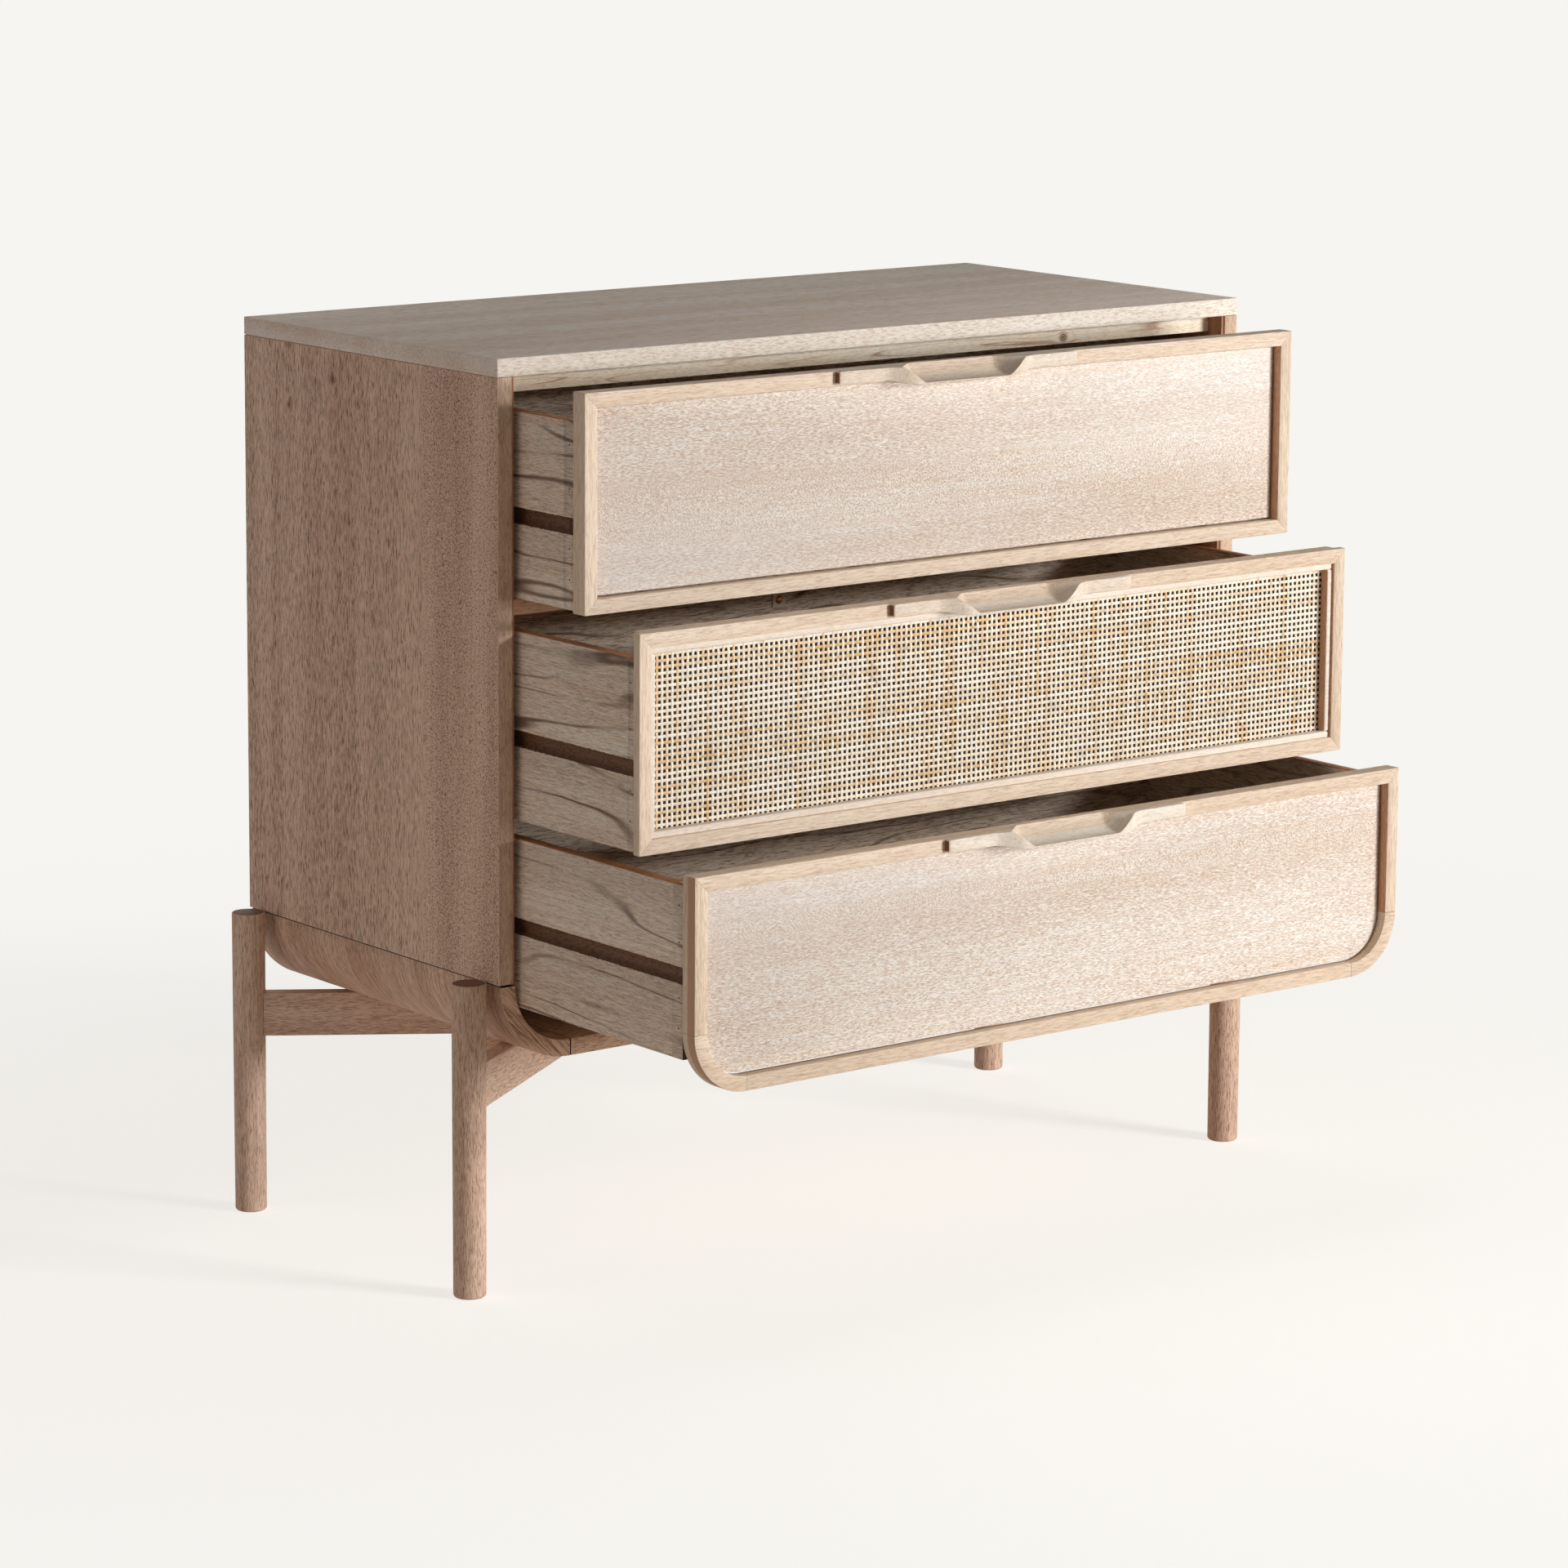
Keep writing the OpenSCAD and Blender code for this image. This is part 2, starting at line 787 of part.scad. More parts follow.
top_front_upper_rail();
top_front_lower_rail();
top_front_stiles();
top_front() front_panel(0);  // top_front_panel
top_front() handle();  // top_handle
top_box() box_side(left, framed_t, top_box_h, box_front_t);  // top_box_left
top_box() box_side(right, framed_t, top_box_h, box_front_t);  // top_box_right
top_box() box_front(top_box_h);  // top_box_front
top_box() box_back(top_box_h);  // top_box_back
top_box() box_bottom(framed_t + box_front_t);  // top_box_bottom
top_box() box_pins(framed_t + box_front_t / 2, top_box_h);  // top_box_pins

middle_front_upper_rail();
middle_front_lower_rail();
middle_front_stiles();
color(oak_pale) middle_front() cane_board();  // middle_front_board
color(cane_cream) middle_front() webbing();  // cane_webbing
color(oak_pale) middle_front() beads();  // cane_beads
color(oak_pale) middle_front() handle();  // middle_handle
color(box_wood) middle_box() box_side(left, cane_frame_t, middle_box_h, cane_board_t);  // middle_box_left
color(box_wood) middle_box() box_side(right, cane_frame_t, middle_box_h, cane_board_t);  // middle_box_right
color(box_wood) middle_box() box_back(middle_box_h);  // middle_box_back
color(box_wood) middle_box() box_bottom(cane_front_t);  // middle_box_bottom
color(dark_wood) middle_box() box_pins((cane_back + cane_front_t) / 2, middle_box_h);  // middle_box_pins
color(steel_grey) middle_box() stop_plate_shape();  // stop_plate
color(brass_gold) middle_box() stop_screw_shape();  // stop_screw

bottom_front_upper_rail();
bottom_front_lower_rail();
bottom_front_stiles();
bottom_front_corners();
bottom_front() front_panel(front_corner_r);  // bottom_front_panel
bottom_front() handle();  // bottom_handle
bottom_box() box_side(left, framed_t, bottom_box_h, box_front_t);  // bottom_box_left
bottom_box() box_side(right, framed_t, bottom_box_h, box_front_t);  // bottom_box_right
bottom_box() box_front(bottom_box_h);  // bottom_box_front
bottom_box() box_back(bottom_box_h);  // bottom_box_back
bottom_box() box_bottom(framed_t + box_front_t);  // bottom_box_bottom
bottom_box() box_pins(framed_t + box_front_t / 2, bottom_box_h);  // bottom_box_pins
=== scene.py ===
# %% [markdown]
# # A chest of three drawers
# The chest is a carcass with curved lower corners on a splayed base. Its drawers have framed
# fronts, one of them with woven cane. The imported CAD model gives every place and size. Here
# each piece gets its rounded edges, weave and finish, and stays where its CAD node is.

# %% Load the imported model
import math

import bpy
import numpy as np
from mathutils import Matrix, Vector


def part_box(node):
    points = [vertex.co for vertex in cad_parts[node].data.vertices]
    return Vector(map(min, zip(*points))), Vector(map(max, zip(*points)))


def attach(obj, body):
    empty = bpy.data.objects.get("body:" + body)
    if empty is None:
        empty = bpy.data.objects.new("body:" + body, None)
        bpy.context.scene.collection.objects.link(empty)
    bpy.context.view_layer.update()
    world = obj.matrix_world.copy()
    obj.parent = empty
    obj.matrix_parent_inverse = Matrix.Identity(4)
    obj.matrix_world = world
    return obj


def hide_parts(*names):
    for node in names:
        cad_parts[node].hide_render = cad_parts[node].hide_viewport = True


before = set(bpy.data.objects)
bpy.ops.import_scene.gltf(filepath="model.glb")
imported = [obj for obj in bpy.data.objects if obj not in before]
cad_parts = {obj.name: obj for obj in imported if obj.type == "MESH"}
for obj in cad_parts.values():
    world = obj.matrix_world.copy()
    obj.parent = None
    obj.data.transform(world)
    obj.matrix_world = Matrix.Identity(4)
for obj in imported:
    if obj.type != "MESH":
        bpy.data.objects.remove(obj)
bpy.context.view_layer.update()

MM = 0.001

# %% [markdown]
# ## The camera
# The photograph is a long-lens view from the front left, a little above the top. Place, turn
# and focal length come from matching about forty corners of the chest. The lens is moved down
# a tenth of the picture, so that the upright edges stay nearly upright.

# %% Camera
CAMERA_PLACE = (-3.27714, -4.08479, 1.45553)
CAMERA_TURNS = (-38.3361, -9.5724, 0.4038)
FILM, FOCAL_PIXELS, PICTURE = 36, 6743.32, 1920
LENS_MOVED = (-0.0112, -0.1)


def put(name, data):
    """New object that holds the data, linked into the scene."""
    thing = bpy.data.objects.new(name, data)
    bpy.context.scene.collection.objects.link(thing)
    return thing


def look(yaw, pitch, roll):
    """Rotation whose -Z is the sight line: yaw about Z, then pitch up, then roll about the line."""
    right = Vector((math.cos(yaw), math.sin(yaw), 0))
    ahead = Vector((-math.sin(yaw) * math.cos(pitch), math.cos(yaw) * math.cos(pitch),
                    math.sin(pitch)))
    above = right.cross(ahead)
    x = math.cos(roll) * right + math.sin(roll) * above
    y = -math.sin(roll) * right + math.cos(roll) * above
    return Matrix((x, y, -ahead)).transposed()


camera = put("camera", bpy.data.cameras.new("camera"))
turned = look(*(math.radians(a) for a in CAMERA_TURNS)).to_4x4()
camera.matrix_world = Matrix.Translation(CAMERA_PLACE) @ turned
camera.data.sensor_width = FILM
camera.data.lens = FILM * FOCAL_PIXELS / PICTURE
camera.data.shift_x, camera.data.shift_y = LENS_MOVED
bpy.context.scene.camera = camera
print("lens in mm:", round(camera.data.lens, 1))

# %% [markdown]
# ## Node helpers
# A material is a small network of nodes. A few helpers keep it readable: one turns a screen
# colour into the linear colour that the renderer works with, one adds a node and fills its
# sockets with numbers or other nodes' outputs, and one adds the shader that ends the network.

# %% Colours and nodes
def tint(red, green, blue):
    """Screen colour from 0 to 255 as linear colour: divide by 12.92 when dark, else a 2.4 power."""
    shares = np.array([red, green, blue]) / 255
    linear = np.where(shares <= 0.04045, shares / 12.92, ((shares + 0.055) / 1.055) ** 2.4)
    return (*linear.tolist(), 1.0)


def scaled(colour, share):
    """Linear colour times a share, each part at most one."""
    return (*(min(1.0, c * share) for c in colour[:3]), 1.0)


def work_on(holder):
    """Empty the node tree of a material or a world. All helpers add to the one begun last."""
    global tree
    holder.use_nodes = True
    tree = holder.node_tree
    tree.nodes.clear()


# All finishes by name. Blender's own list won't do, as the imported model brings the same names.
finishes = {}


def begin(name):
    """New finish with an empty node tree."""
    finishes[name] = bpy.data.materials.new(name)
    work_on(finishes[name])


def add(kind, *values, out=0, sockets=None, **settings):
    """Add one shader node and return the output that later nodes read. A second word in kind is
    its operation. Its sockets are filled in order by values, and by name by sockets."""
    kind, _, operation = kind.partition(" ")
    made = tree.nodes.new("ShaderNode" + kind)
    if operation:
        made.operation = operation
    for key, value in settings.items():
        setattr(made, key, value)
    for key, value in {**dict(enumerate(values)), **(sockets or {})}.items():
        if isinstance(value, bpy.types.NodeSocket):
            tree.links.new(value, made.inputs[key])
        elif value is not None:
            made.inputs[key].default_value = value
    return made.outputs[out] if len(made.outputs) else None


def coat(sockets):
    """The shader of a finish, with its sockets filled by name, linked to the output."""
    add("OutputMaterial", add("BsdfPrincipled", sockets=sockets))


def own_place():
    """The object's own coordinates in metres."""
    return add("TexCoord", out="Object")


def blend_colour(share, first, second):
    """Colour that goes from the first to the second as share goes from 0 to 1."""
    unused = [None] * 5
    return add("Mix", share, *unused, first, second, out=2, data_type="RGBA")


def between(value, low, high, start=0.0, end=1.0):
    """Value mapped smoothly from the range low to high onto the range start to end."""
    return add("MapRange", value, low, high, start, end, interpolation_type="SMOOTHSTEP")


def times(first, second):
    """Product of two numbers."""
    return add("Math MULTIPLY", first, second)


print("screen grey 128 as linear light:", round(tint(128, 128, 128)[0], 3))

# %% [markdown]
# ## Light and floor
# A soft box lights the chest from the front right, and a second one below it reaches under
# the drawers. The shadows of the fronts on the left side board tell how high the upper one
# hangs: they fall about two tenths of their distance. Weak warm fills from the left, near the
# camera, above and behind open the shade. Floor and background show as the photograph's pale
# paper: a Light Path node gives them that colour only where the camera looks at them. Near
# the chest part of the floor stays lit and takes the shadow of the legs.

# %% Light
PAPER = tint(246, 245, 241)
WORLD_COLOUR, WORLD_STRENGTH = (1.0, 0.95, 0.91, 1.0), 0.065
# Of each lamp its place, what it shines at, its width and height in metres, watts and colour.
LAMPS = {
    "soft_box": ((2.9, -5.1, 1.95), (0.05, -0.2, 0.6), (1.5, 0.45), 108, (1.0, 0.97, 0.94)),
    "low_box": ((2.9, -5.1, 0.8), (0.05, -0.2, 0.6), (1.5, 0.9), 182, (1.0, 1.0, 0.99)),
    "left_fill": ((-4.3, 0.3, 0.9), (0.0, 0.1, 0.5), (2.0, 1.4), 21, (1.0, 0.87, 0.80)),
    "near_fill": ((-2.6, -3.8, 1.8), (0.0, -0.2, 0.5), (1.0, 0.7), 4, (1.0, 0.80, 0.64)),
    "top_fill": ((0.0, 0.4, 3.0), (0.0, 0.2, 0.5), (2.6, 2.0), 6.5, (1.0, 0.94, 0.88)),
    "back_fill": ((1.2, 4.4, 1.2), (0.0, 0.2, 0.5), (2.0, 1.6), 20, (1.0, 0.97, 0.94)),
}
for name, (place, target, size, watts, colour) in LAMPS.items():
    lamp = bpy.data.lights.new(name, "AREA")
    lamp.shape, lamp.energy, lamp.color = "RECTANGLE", watts, colour
    lamp.size, lamp.size_y = size
    holder = put(name, lamp)
    holder.location = place
    sight = Vector(target) - Vector(place)
    holder.rotation_euler = sight.to_track_quat("-Z", "Y").to_euler()


def seen_directly():
    """One for a ray from the camera, and for one that a gloss or a glass sends on; else zero."""
    paths = tree.nodes.new("ShaderNodeLightPath").outputs
    first = add("Math MAXIMUM", paths["Is Camera Ray"], paths["Is Glossy Ray"])
    return add("Math MAXIMUM", first, paths["Is Transmission Ray"])


world = bpy.context.scene.world = bpy.data.worlds.new("studio")
work_on(world)
plain = add("Background", WORLD_COLOUR, WORLD_STRENGTH)
add("OutputWorld", add("MixShader", seen_directly(), plain, add("Background", PAPER, 1.0)))
bpy.context.scene.view_settings.view_transform = "Standard"
print("lamps:", len(LAMPS))

# %% Floor
FLOOR_HALF = 60.0
SHADOW_SHARE, SHADOW_ROUND = 0.24, (0.7, 2.0)
LIT_GREY, MATT_CREAM = (0.62, 0.62, 0.61, 1.0), (0.90, 0.84, 0.78, 1.0)
floor_mesh = bpy.data.meshes.new("floor")
corners = [(x * FLOOR_HALF, y * FLOOR_HALF, 0) for x, y in ((-1, -1), (1, -1), (1, 1), (-1, 1))]
floor_mesh.from_pydata(corners, [], [(0, 1, 2, 3)])
floor = put("floor", floor_mesh)

begin("floor_paper")
lit_part = add("BsdfDiffuse", LIT_GREY, 0.0)
near_chest = add("AddShader", add("Emission", PAPER, 1 - SHADOW_SHARE), lit_part)
away = add("VectorMath LENGTH", own_place(), out=1)
far_off = add("Emission", PAPER, 1.0)
as_seen = add("MixShader", between(away, *SHADOW_ROUND), near_chest, far_off)
matt = add("BsdfDiffuse", MATT_CREAM, 0.0)
add("OutputMaterial", add("MixShader", seen_directly(), matt, as_seen))
floor_mesh.materials.append(finishes["floor_paper"])
print("floor in metres:", [round(v, 1) for v in floor.dimensions])

# %% [markdown]
# ## The wood
# Pale open-pored hardwood is four patterns on top of each other: broad soft bands, thin
# growth lines, short dark strokes where the pores are cut open, and a waviness of all of
# them. Each is a noise texture on the object's own coordinates, turned so that X follows the
# grain and squeezed across it, so a face across the grain shows dots, as real end grain does.
# Where the saw met the rays of the tree a band has fine flecks instead, and round a knot the
# lines bulge: the place that is looked up moves towards the knot. Eased edges carry a mark,
# which pales them: partly wear from handling, partly a painted highlight.

# %% Patterns of the grain
KNOT_PULL, KNOT_REACH, KNOT_RINGS = 0.75, 3, 22


def noise(place, size, detail=2.0, rough=0.5, bend=0.0, out=0):
    """Noise on squeezed coordinates. With size = (along, across, deep) its features are 1/along
    metres long, 1/across wide and 1/deep thick. Without deep they are as thick as wide."""
    squeezed = add("VectorMath MULTIPLY", place, (*size, size[-1])[:3])
    unused = [None] * 3
    return add("TexNoise", squeezed, None, 1.0, detail, rough, *unused, bend, out=out)


def swayed(place, size, reach):
    """Place moved across the grain by up to half the reach, as the colours of a noise say."""
    sway = add("VectorMath SUBTRACT", noise(place, size, out=1), (0.5, 0.5, 0.5))
    sway = add("VectorMath MULTIPLY", sway, (0.0, reach, reach))
    return add("VectorMath ADD", place, sway)


def within(place, axis, low, high, soft):
    """One between two places on an axis, zero outside, with soft edges."""
    along = add("SeparateXYZ", place, out="xyz".index(axis))
    enters = between(along, low - soft, low + soft)
    return times(enters, between(along, high - soft, high + soft, 1.0, 0.0))


def knot_shade(spot, centre, radius):
    """Share of a knot: one at its centre, falling to zero at its radius, with rings between."""
    apart = add("VectorMath DISTANCE", spot, centre, out=1)
    body = between(apart, 0.25 * radius, radius, 1.0, 0.0)
    ring = add("Math SINE", times(apart, KNOT_RINGS / radius))
    return times(body, between(ring, -1.0, 1.0, 0.55, 1.0))


def round_knot(place, centre, radius):
    """Place moved towards a knot, most at its centre and not at all three radii away."""
    apart = add("VectorMath DISTANCE", place, centre, out=1)
    share = between(apart, 0.0, KNOT_REACH * radius, KNOT_PULL, 0.0)
    inwards = add("VectorMath SUBTRACT", centre, place)
    inwards = add("VectorMath SCALE", inwards, None, None, share)
    return add("VectorMath ADD", place, inwards)


def growth_lines(place, count, along, across):
    """Thin lines where a stretched noise passes a multiple of 1 / count, like the year rings on
    the face of a board. They fade and come back with a second noise."""
    height = times(noise(place, (along, across), 1.5, 0.45), count)
    apart = add("Math SUBTRACT", add("Math FRACT", height), 0.5)
    strength = between(noise(place, (along * 5, across)), 0.36, 0.62)
    return times(between(add("Math ABSOLUTE", apart), 0.40, 0.49), strength)


# %% Wood
ALONG_X, ALONG_Y, ALONG_Z = (1, 0, 0), (0, 1, 0), (0, 0, 1)
SWAY_SIZE, CURL_SIZE, FLECK_SIZE, CURL = (8, 24), (60, 170), (620, 900), 0.0022
PALE_LIMIT, DARK_LIMIT, PORE_SOFT = 0.44, 0.41, 0.27
KNOT_BROWN, WOOD_ROUGH, PORE_ROUGH, WOOD_SHINE = tint(112, 70, 46), 0.6, 0.8, 0.22
# Paler eased edges: partly wear, partly a painted highlight.
WORN_AND_LIT_PALER, WORN_AND_LIT_SHARE, LINE_RELIEF = 1.2, 0.35, 0.35


def wood(name, tones, grain=ALONG_X, shift=0.0, bands=0.5, lines=0.35, strokes=0.5,
         pores=(130, 1150), broad=(1.1, 20), fine=(6, 300), rings=0.0,
         years=(9, 2.2, 20), sway=0.005, dense=0.0, knots=(), flecks=None, inks=()):
    """Matt wood in three screen colours: pale and dark mixed by bands and lines, then strokes,
    rings, knots and inks, each laid over the last by its share, and paler edges. The sizes of
    the noises are broad for bands, fine for lines, pores for strokes and years for rings."""
    pale, dark, pore = (tint(*tone) for tone in tones)
    begin(name)
    spot = place = own_place()
    for centre, radius in knots:
        place = round_knot(place, centre, radius)
    turn = Vector(grain).rotation_difference(Vector(ALONG_X)).to_euler()
    turned = add("Mapping", place, (shift, shift * 1.7, shift * 2.3), turn)
    fibre = swayed(turned, SWAY_SIZE, sway)
    curly = swayed(fibre, CURL_SIZE, CURL)

    band = between(noise(fibre, broad, 3.0), 0.32, 0.68)
    line = between(noise(fibre, fine, 3.0, 0.6), 0.40, 0.66)
    stroke = noise(curly, pores, 2.0, 0.65, 0.3)
    if flecks:
        speck = noise(curly, FLECK_SIZE, 2.0, 0.6, 0.5)
        stroke = add("Mix", within(place, *flecks), None, stroke, speck)
    limit = between(band, 0.0, 1.0, PALE_LIMIT - dense, DARK_LIMIT - dense)
    pit = between(stroke, limit, add("Math ADD", limit, PORE_SOFT))

    layers = [(times(band, bands), dark), (times(line, lines), dark),
              (times(pit, strokes), pore)]
    if rings:
        layers.append((times(growth_lines(fibre, *years), rings), pore))
    layers += [(knot_shade(spot, *knot), KNOT_BROWN) for knot in knots]
    layers += [ink(spot) for ink in inks]
    # Eased edges are paled: partly wear, partly a painted highlight.
    edge = add("Attribute", out="Fac", attribute_name="arris")
    layers.append((times(edge, WORN_AND_LIT_SHARE), scaled(pale, WORN_AND_LIT_PALER)))
    colour = pale
    for share, tone in layers:
        colour = blend_colour(share, colour, tone)

    relief = add("Math ADD", times(pit, -1.0), times(line, -LINE_RELIEF))
    bump = add("Bump", sockets={"Strength": 0.4, "Distance": 0.0003, "Height": relief})
    rough = between(pit, 0.0, 1.0, WOOD_ROUGH, PORE_ROUGH)
    coat({"Base Color": colour, "Roughness": rough, "Normal": bump,
          "Specular IOR Level": WOOD_SHINE})


# %% The woods of the chest
# Each wood as its pale, its dark and its pore colour.
FRONT = (255, 253, 248), (245, 230, 214), (192, 153, 122)
FRAME = (249, 232, 212), (229, 202, 174), (154, 110, 78)
SIDE = (252, 222, 200), (222, 184, 160), (92, 56, 38)
BOX = (255, 245, 230), (238, 210, 186), (104, 74, 55)
INSIDE = (255, 246, 230), (242, 216, 192), (120, 82, 58)
WARM = (252, 216, 188), (228, 188, 158), (126, 82, 58)
CORNER = (250, 218, 194), (206, 162, 134), WARM[2]
LEG = (252, 224, 202), (226, 188, 162), (116, 74, 52)
# Arms that face the front light take paler tones than the others: painted light.
LIT_ARM = (255, 230, 210), (238, 204, 178), (126, 84, 60)
PALE_RAIL = (255, 250, 236), (255, 226, 190), (176, 122, 78)

# Each knot as its centre and its radius in metres.
RAIL_KNOT = ((0.2395, -0.0465, 0.8423), 0.008)
SIDE_KNOTS = (((-0.45, 0.1992, 0.8243), 0.006), ((-0.45, 0.2751, 0.7936), 0.004))

# What several finishes share.
PANEL_GRAIN = dict(bands=0.35, lines=0.6, strokes=0.78, pores=(210, 1600), dense=0.05)
STILE_GRAIN = dict(lines=0.45, strokes=0.4, pores=(60, 1200))
CORNER_GRAIN = dict(lines=0.8, strokes=0.7, broad=(4, 30, 4), pores=(50, 1500, 240),
                    fine=(6, 520, 9), sway=0.003)
BENT_GRAIN = dict(lines=1.0, strokes=0.9, pores=(20, 800), fine=(2, 200), sway=0.003)
ARM_GRAIN = dict(lines=0.55, strokes=0.62, pores=(90, 1500))
INNER_GRAIN = dict(lines=0.6, pores=(70, 1100))

wood("panel_top", FRONT, flecks=("z", 0.703, 0.758, 0.012), **PANEL_GRAIN)
wood("panel_bottom", FRONT, shift=0.42, flecks=("z", 0.372, 0.392, 0.010), **PANEL_GRAIN)
wood("rail_face", FRAME, shift=0.31, lines=0.45, strokes=0.4, pores=(70, 1200))
wood("stile_face", FRAME, ALONG_Z, 0.83, **STILE_GRAIN)
# Inner sides of stiles and beads take a browner tone as painted shade.
wood("stile_inner", ((226, 180, 148), (204, 156, 124), (150, 104, 76)), ALONG_Z, 0.9)
wood("handle_wood", ((255, 248, 236), *FRAME[1:]), shift=0.57, strokes=0.3)
# End faces of the handles: darker end grain, deepened further as painted shade.
wood("slot_brown", ((150, 100, 72), (118, 76, 54), (80, 50, 36)), ALONG_Z, 0.6)
wood("bead_wood", ((255, 246, 234), (240, 222, 204), FRAME[2]), shift=0.2, strokes=0.2)
wood("top_wood", ((255, 246, 236), (238, 214, 194), FRONT[2]), shift=1.1, strokes=0.6,
     pores=(70, 1000))
wood("top_front", ((255, 249, 238), *FRONT[1:]), shift=1.4, bands=0.3, strokes=0.6)
wood("side_wood", SIDE, ALONG_Z, 1.9, bands=0.45, strokes=0.85, pores=(90, 1200),
     broad=(1.0, 26), knots=SIDE_KNOTS, flecks=("y", -0.10, 0.052, 0.012))
# Front edges of the sides: darker tones as painted shade.
wood("side_front", ((234, 204, 178), (200, 162, 134), (110, 70, 48)), ALONG_Z, 2.0)
wood("corner_left", CORNER, (1, -0.14, -1), 0.4, **CORNER_GRAIN)
wood("corner_right", CORNER, (-1, -0.14, -1), 0.7, **CORNER_GRAIN)
wood("corner_front_left", WARM, (1, 0, -1), 0.5, **BENT_GRAIN)
wood("corner_front_right", WARM, (-1, 0, -1), 0.8, **BENT_GRAIN)
wood("base_wood", WARM, shift=2.2, strokes=0.7)
wood("leg_wood", LEG, ALONG_Z, 2.7, lines=0.65, strokes=0.72, pores=(90, 1700),
     fine=(9, 420))
# The arms parallel to the front left one take the paler tones, as painted light.
wood("arm_rising", LIT_ARM, (0.829, 0.559, 0), 3.1, **ARM_GRAIN)
wood("arm_falling", LEG, (0.829, -0.559, 0), 3.4, **ARM_GRAIN)
wood("rail_wood", PALE_RAIL, shift=3.9, strokes=0.35, lines=0.5, rings=0.7,
     years=(9, 2.2, 60), knots=(RAIL_KNOT,))
wood("lining_wood", ((206, 158, 126), (172, 122, 92), (110, 66, 44)), ALONG_Z, 4.4)
wood("back_board", ((206, 160, 126), (178, 132, 100), (116, 76, 54)), ALONG_Z, 5.0)
wood("runner_wood", ((222, 186, 150), (190, 150, 116), (128, 90, 62)), ALONG_Y, 5.5)
wood("box_wood", BOX, ALONG_Y, 6.1, bands=0.35, lines=0.65, strokes=0.55, sway=0.006,
     pores=(70, 1800), fine=(5, 300), rings=0.9, years=(9, 1.3, 15))
wood("box_across", INSIDE, ALONG_X, 6.6, bands=0.6, strokes=0.7, rings=0.8,
     years=(10, 2, 16), **INNER_GRAIN)
wood("box_inside", INSIDE, ALONG_Y, 6.9, strokes=0.6, rings=0.5, years=(8, 3, 16),
     **INNER_GRAIN)
wood("box_edge", ((206, 148, 108), (176, 120, 84), (120, 76, 50)), ALONG_Y, 7.3)
# The runner groove: raw brown wood, darkened further as painted shade.
wood("groove_brown", ((126, 92, 68), (90, 62, 44), (56, 38, 27)), ALONG_Y, 7.6,
     pores=(200, 500))
wood("box_base", ((226, 200, 176), (190, 162, 138), (110, 80, 60)), shift=7.0, lines=0.6)
wood("cross_wood", ((240, 190, 152), (214, 162, 124), (150, 104, 76)), shift=7.9)
# Faces inside the narrow joints between parts: near black, as painted shade.
wood("joint_end", ((74, 52, 40), (60, 42, 32), (44, 30, 24)), shift=8.3)
wood("end_grain", ((140, 100, 78), (112, 78, 58), (76, 48, 34)), ALONG_Z, 8.0)


def recess_painted_shade(spot):
    """Painted shade on the recess floor: Y on the floor's plane, X and Z within the opening."""
    share = within(spot, "y", -0.2402, -0.2377, 0.0004)
    for axis, low, high in (("x", -0.4141, 0.4141), ("z", 0.4569, 0.6291)):
        share = times(share, within(spot, axis, low, high, 0.0003))
    return share, tint(36, 24, 16)


wood("recess_board", FRAME, shift=9.0, inks=(recess_painted_shade,))
print("finishes with that of the floor:", len(finishes))

# %% [markdown]
# ## Metal
# The stop plate of the middle drawer is zinc-plated steel, its screw is brass, and the brads
# in the drawer corners are dark steel. All are metallic shaders whose roughness varies with a
# fine noise, because stamped plate and a used screw are never evenly bright.

# %% Metal
def metal(name, tone, rough, grain, metallic=1.0):
    """Metal whose roughness follows a fine noise around its middle value, and its colour too."""
    begin(name)
    cloud = noise(own_place(), (grain, grain * 3), 3.0)
    colour = tint(*tone)
    coat({"Base Color": blend_colour(cloud, colour, scaled(colour, 0.75)),
          "Roughness": between(cloud, 0.3, 0.7, rough - 0.08, rough + 0.12),
          "Metallic": metallic})


metal("plate_steel", (244, 230, 216), 0.6, 300, 0.15)
metal("screw_brass", (214, 160, 92), 0.35, 900, 0.7)
metal("brad_steel", (52, 44, 40), 0.5, 900)
print("finishes:", len(finishes))

# %% [markdown]
# ## Shapes from profiles
# Nearly every piece of the chest is a profile carried along a path: a board is a rectangle
# carried along its length, a frame member is an L carried from mitre to mitre. Its corners
# are eased first, and the first and last rings are drawn in a little, which eases the ends.
# An eased edge catches the light as sanded wood does, and a sharp CAD corner can't. The rings
# are one numpy array, so no vertex is made by hand.

# %% Outlines
def rectangle(low, high):
    """The four corners in turn, from the lowest to the highest and back."""
    return [(low[0], low[1]), (high[0], low[1]), (high[0], high[1]), (low[0], high[1])]


def eased(corners, ease, steps=2):
    """Outline with rounded corners: each corner becomes a quadratic curve that starts `ease`
    before it and ends `ease` after it, and a corner of ease zero stays one point. Also returns
    a mark for each point, one in the middle of a curve and zero at its ends."""
    corners = np.asarray(corners, float)
    ease = np.broadcast_to(np.asarray(ease, float), len(corners))
    before, after = (np.roll(corners, way, 0) - corners for way in (1, -1))
    before /= np.linalg.norm(before, axis=1, keepdims=True)
    after /= np.linalg.norm(after, axis=1, keepdims=True)
    t = np.linspace(0, 1, steps + 1)[None, :, None]
    reach = ease[:, None, None]
    curve = corners[:, None] + reach * ((1 - t) ** 2 * before[:, None] + t ** 2 * after[:, None])
    marks = (1 - np.abs(2 * t[..., 0] - 1)) * (ease[:, None] > 0)
    keep = (ease[:, None] > 0) | (np.arange(steps + 1) == 0)
    return curve[keep], marks[keep]


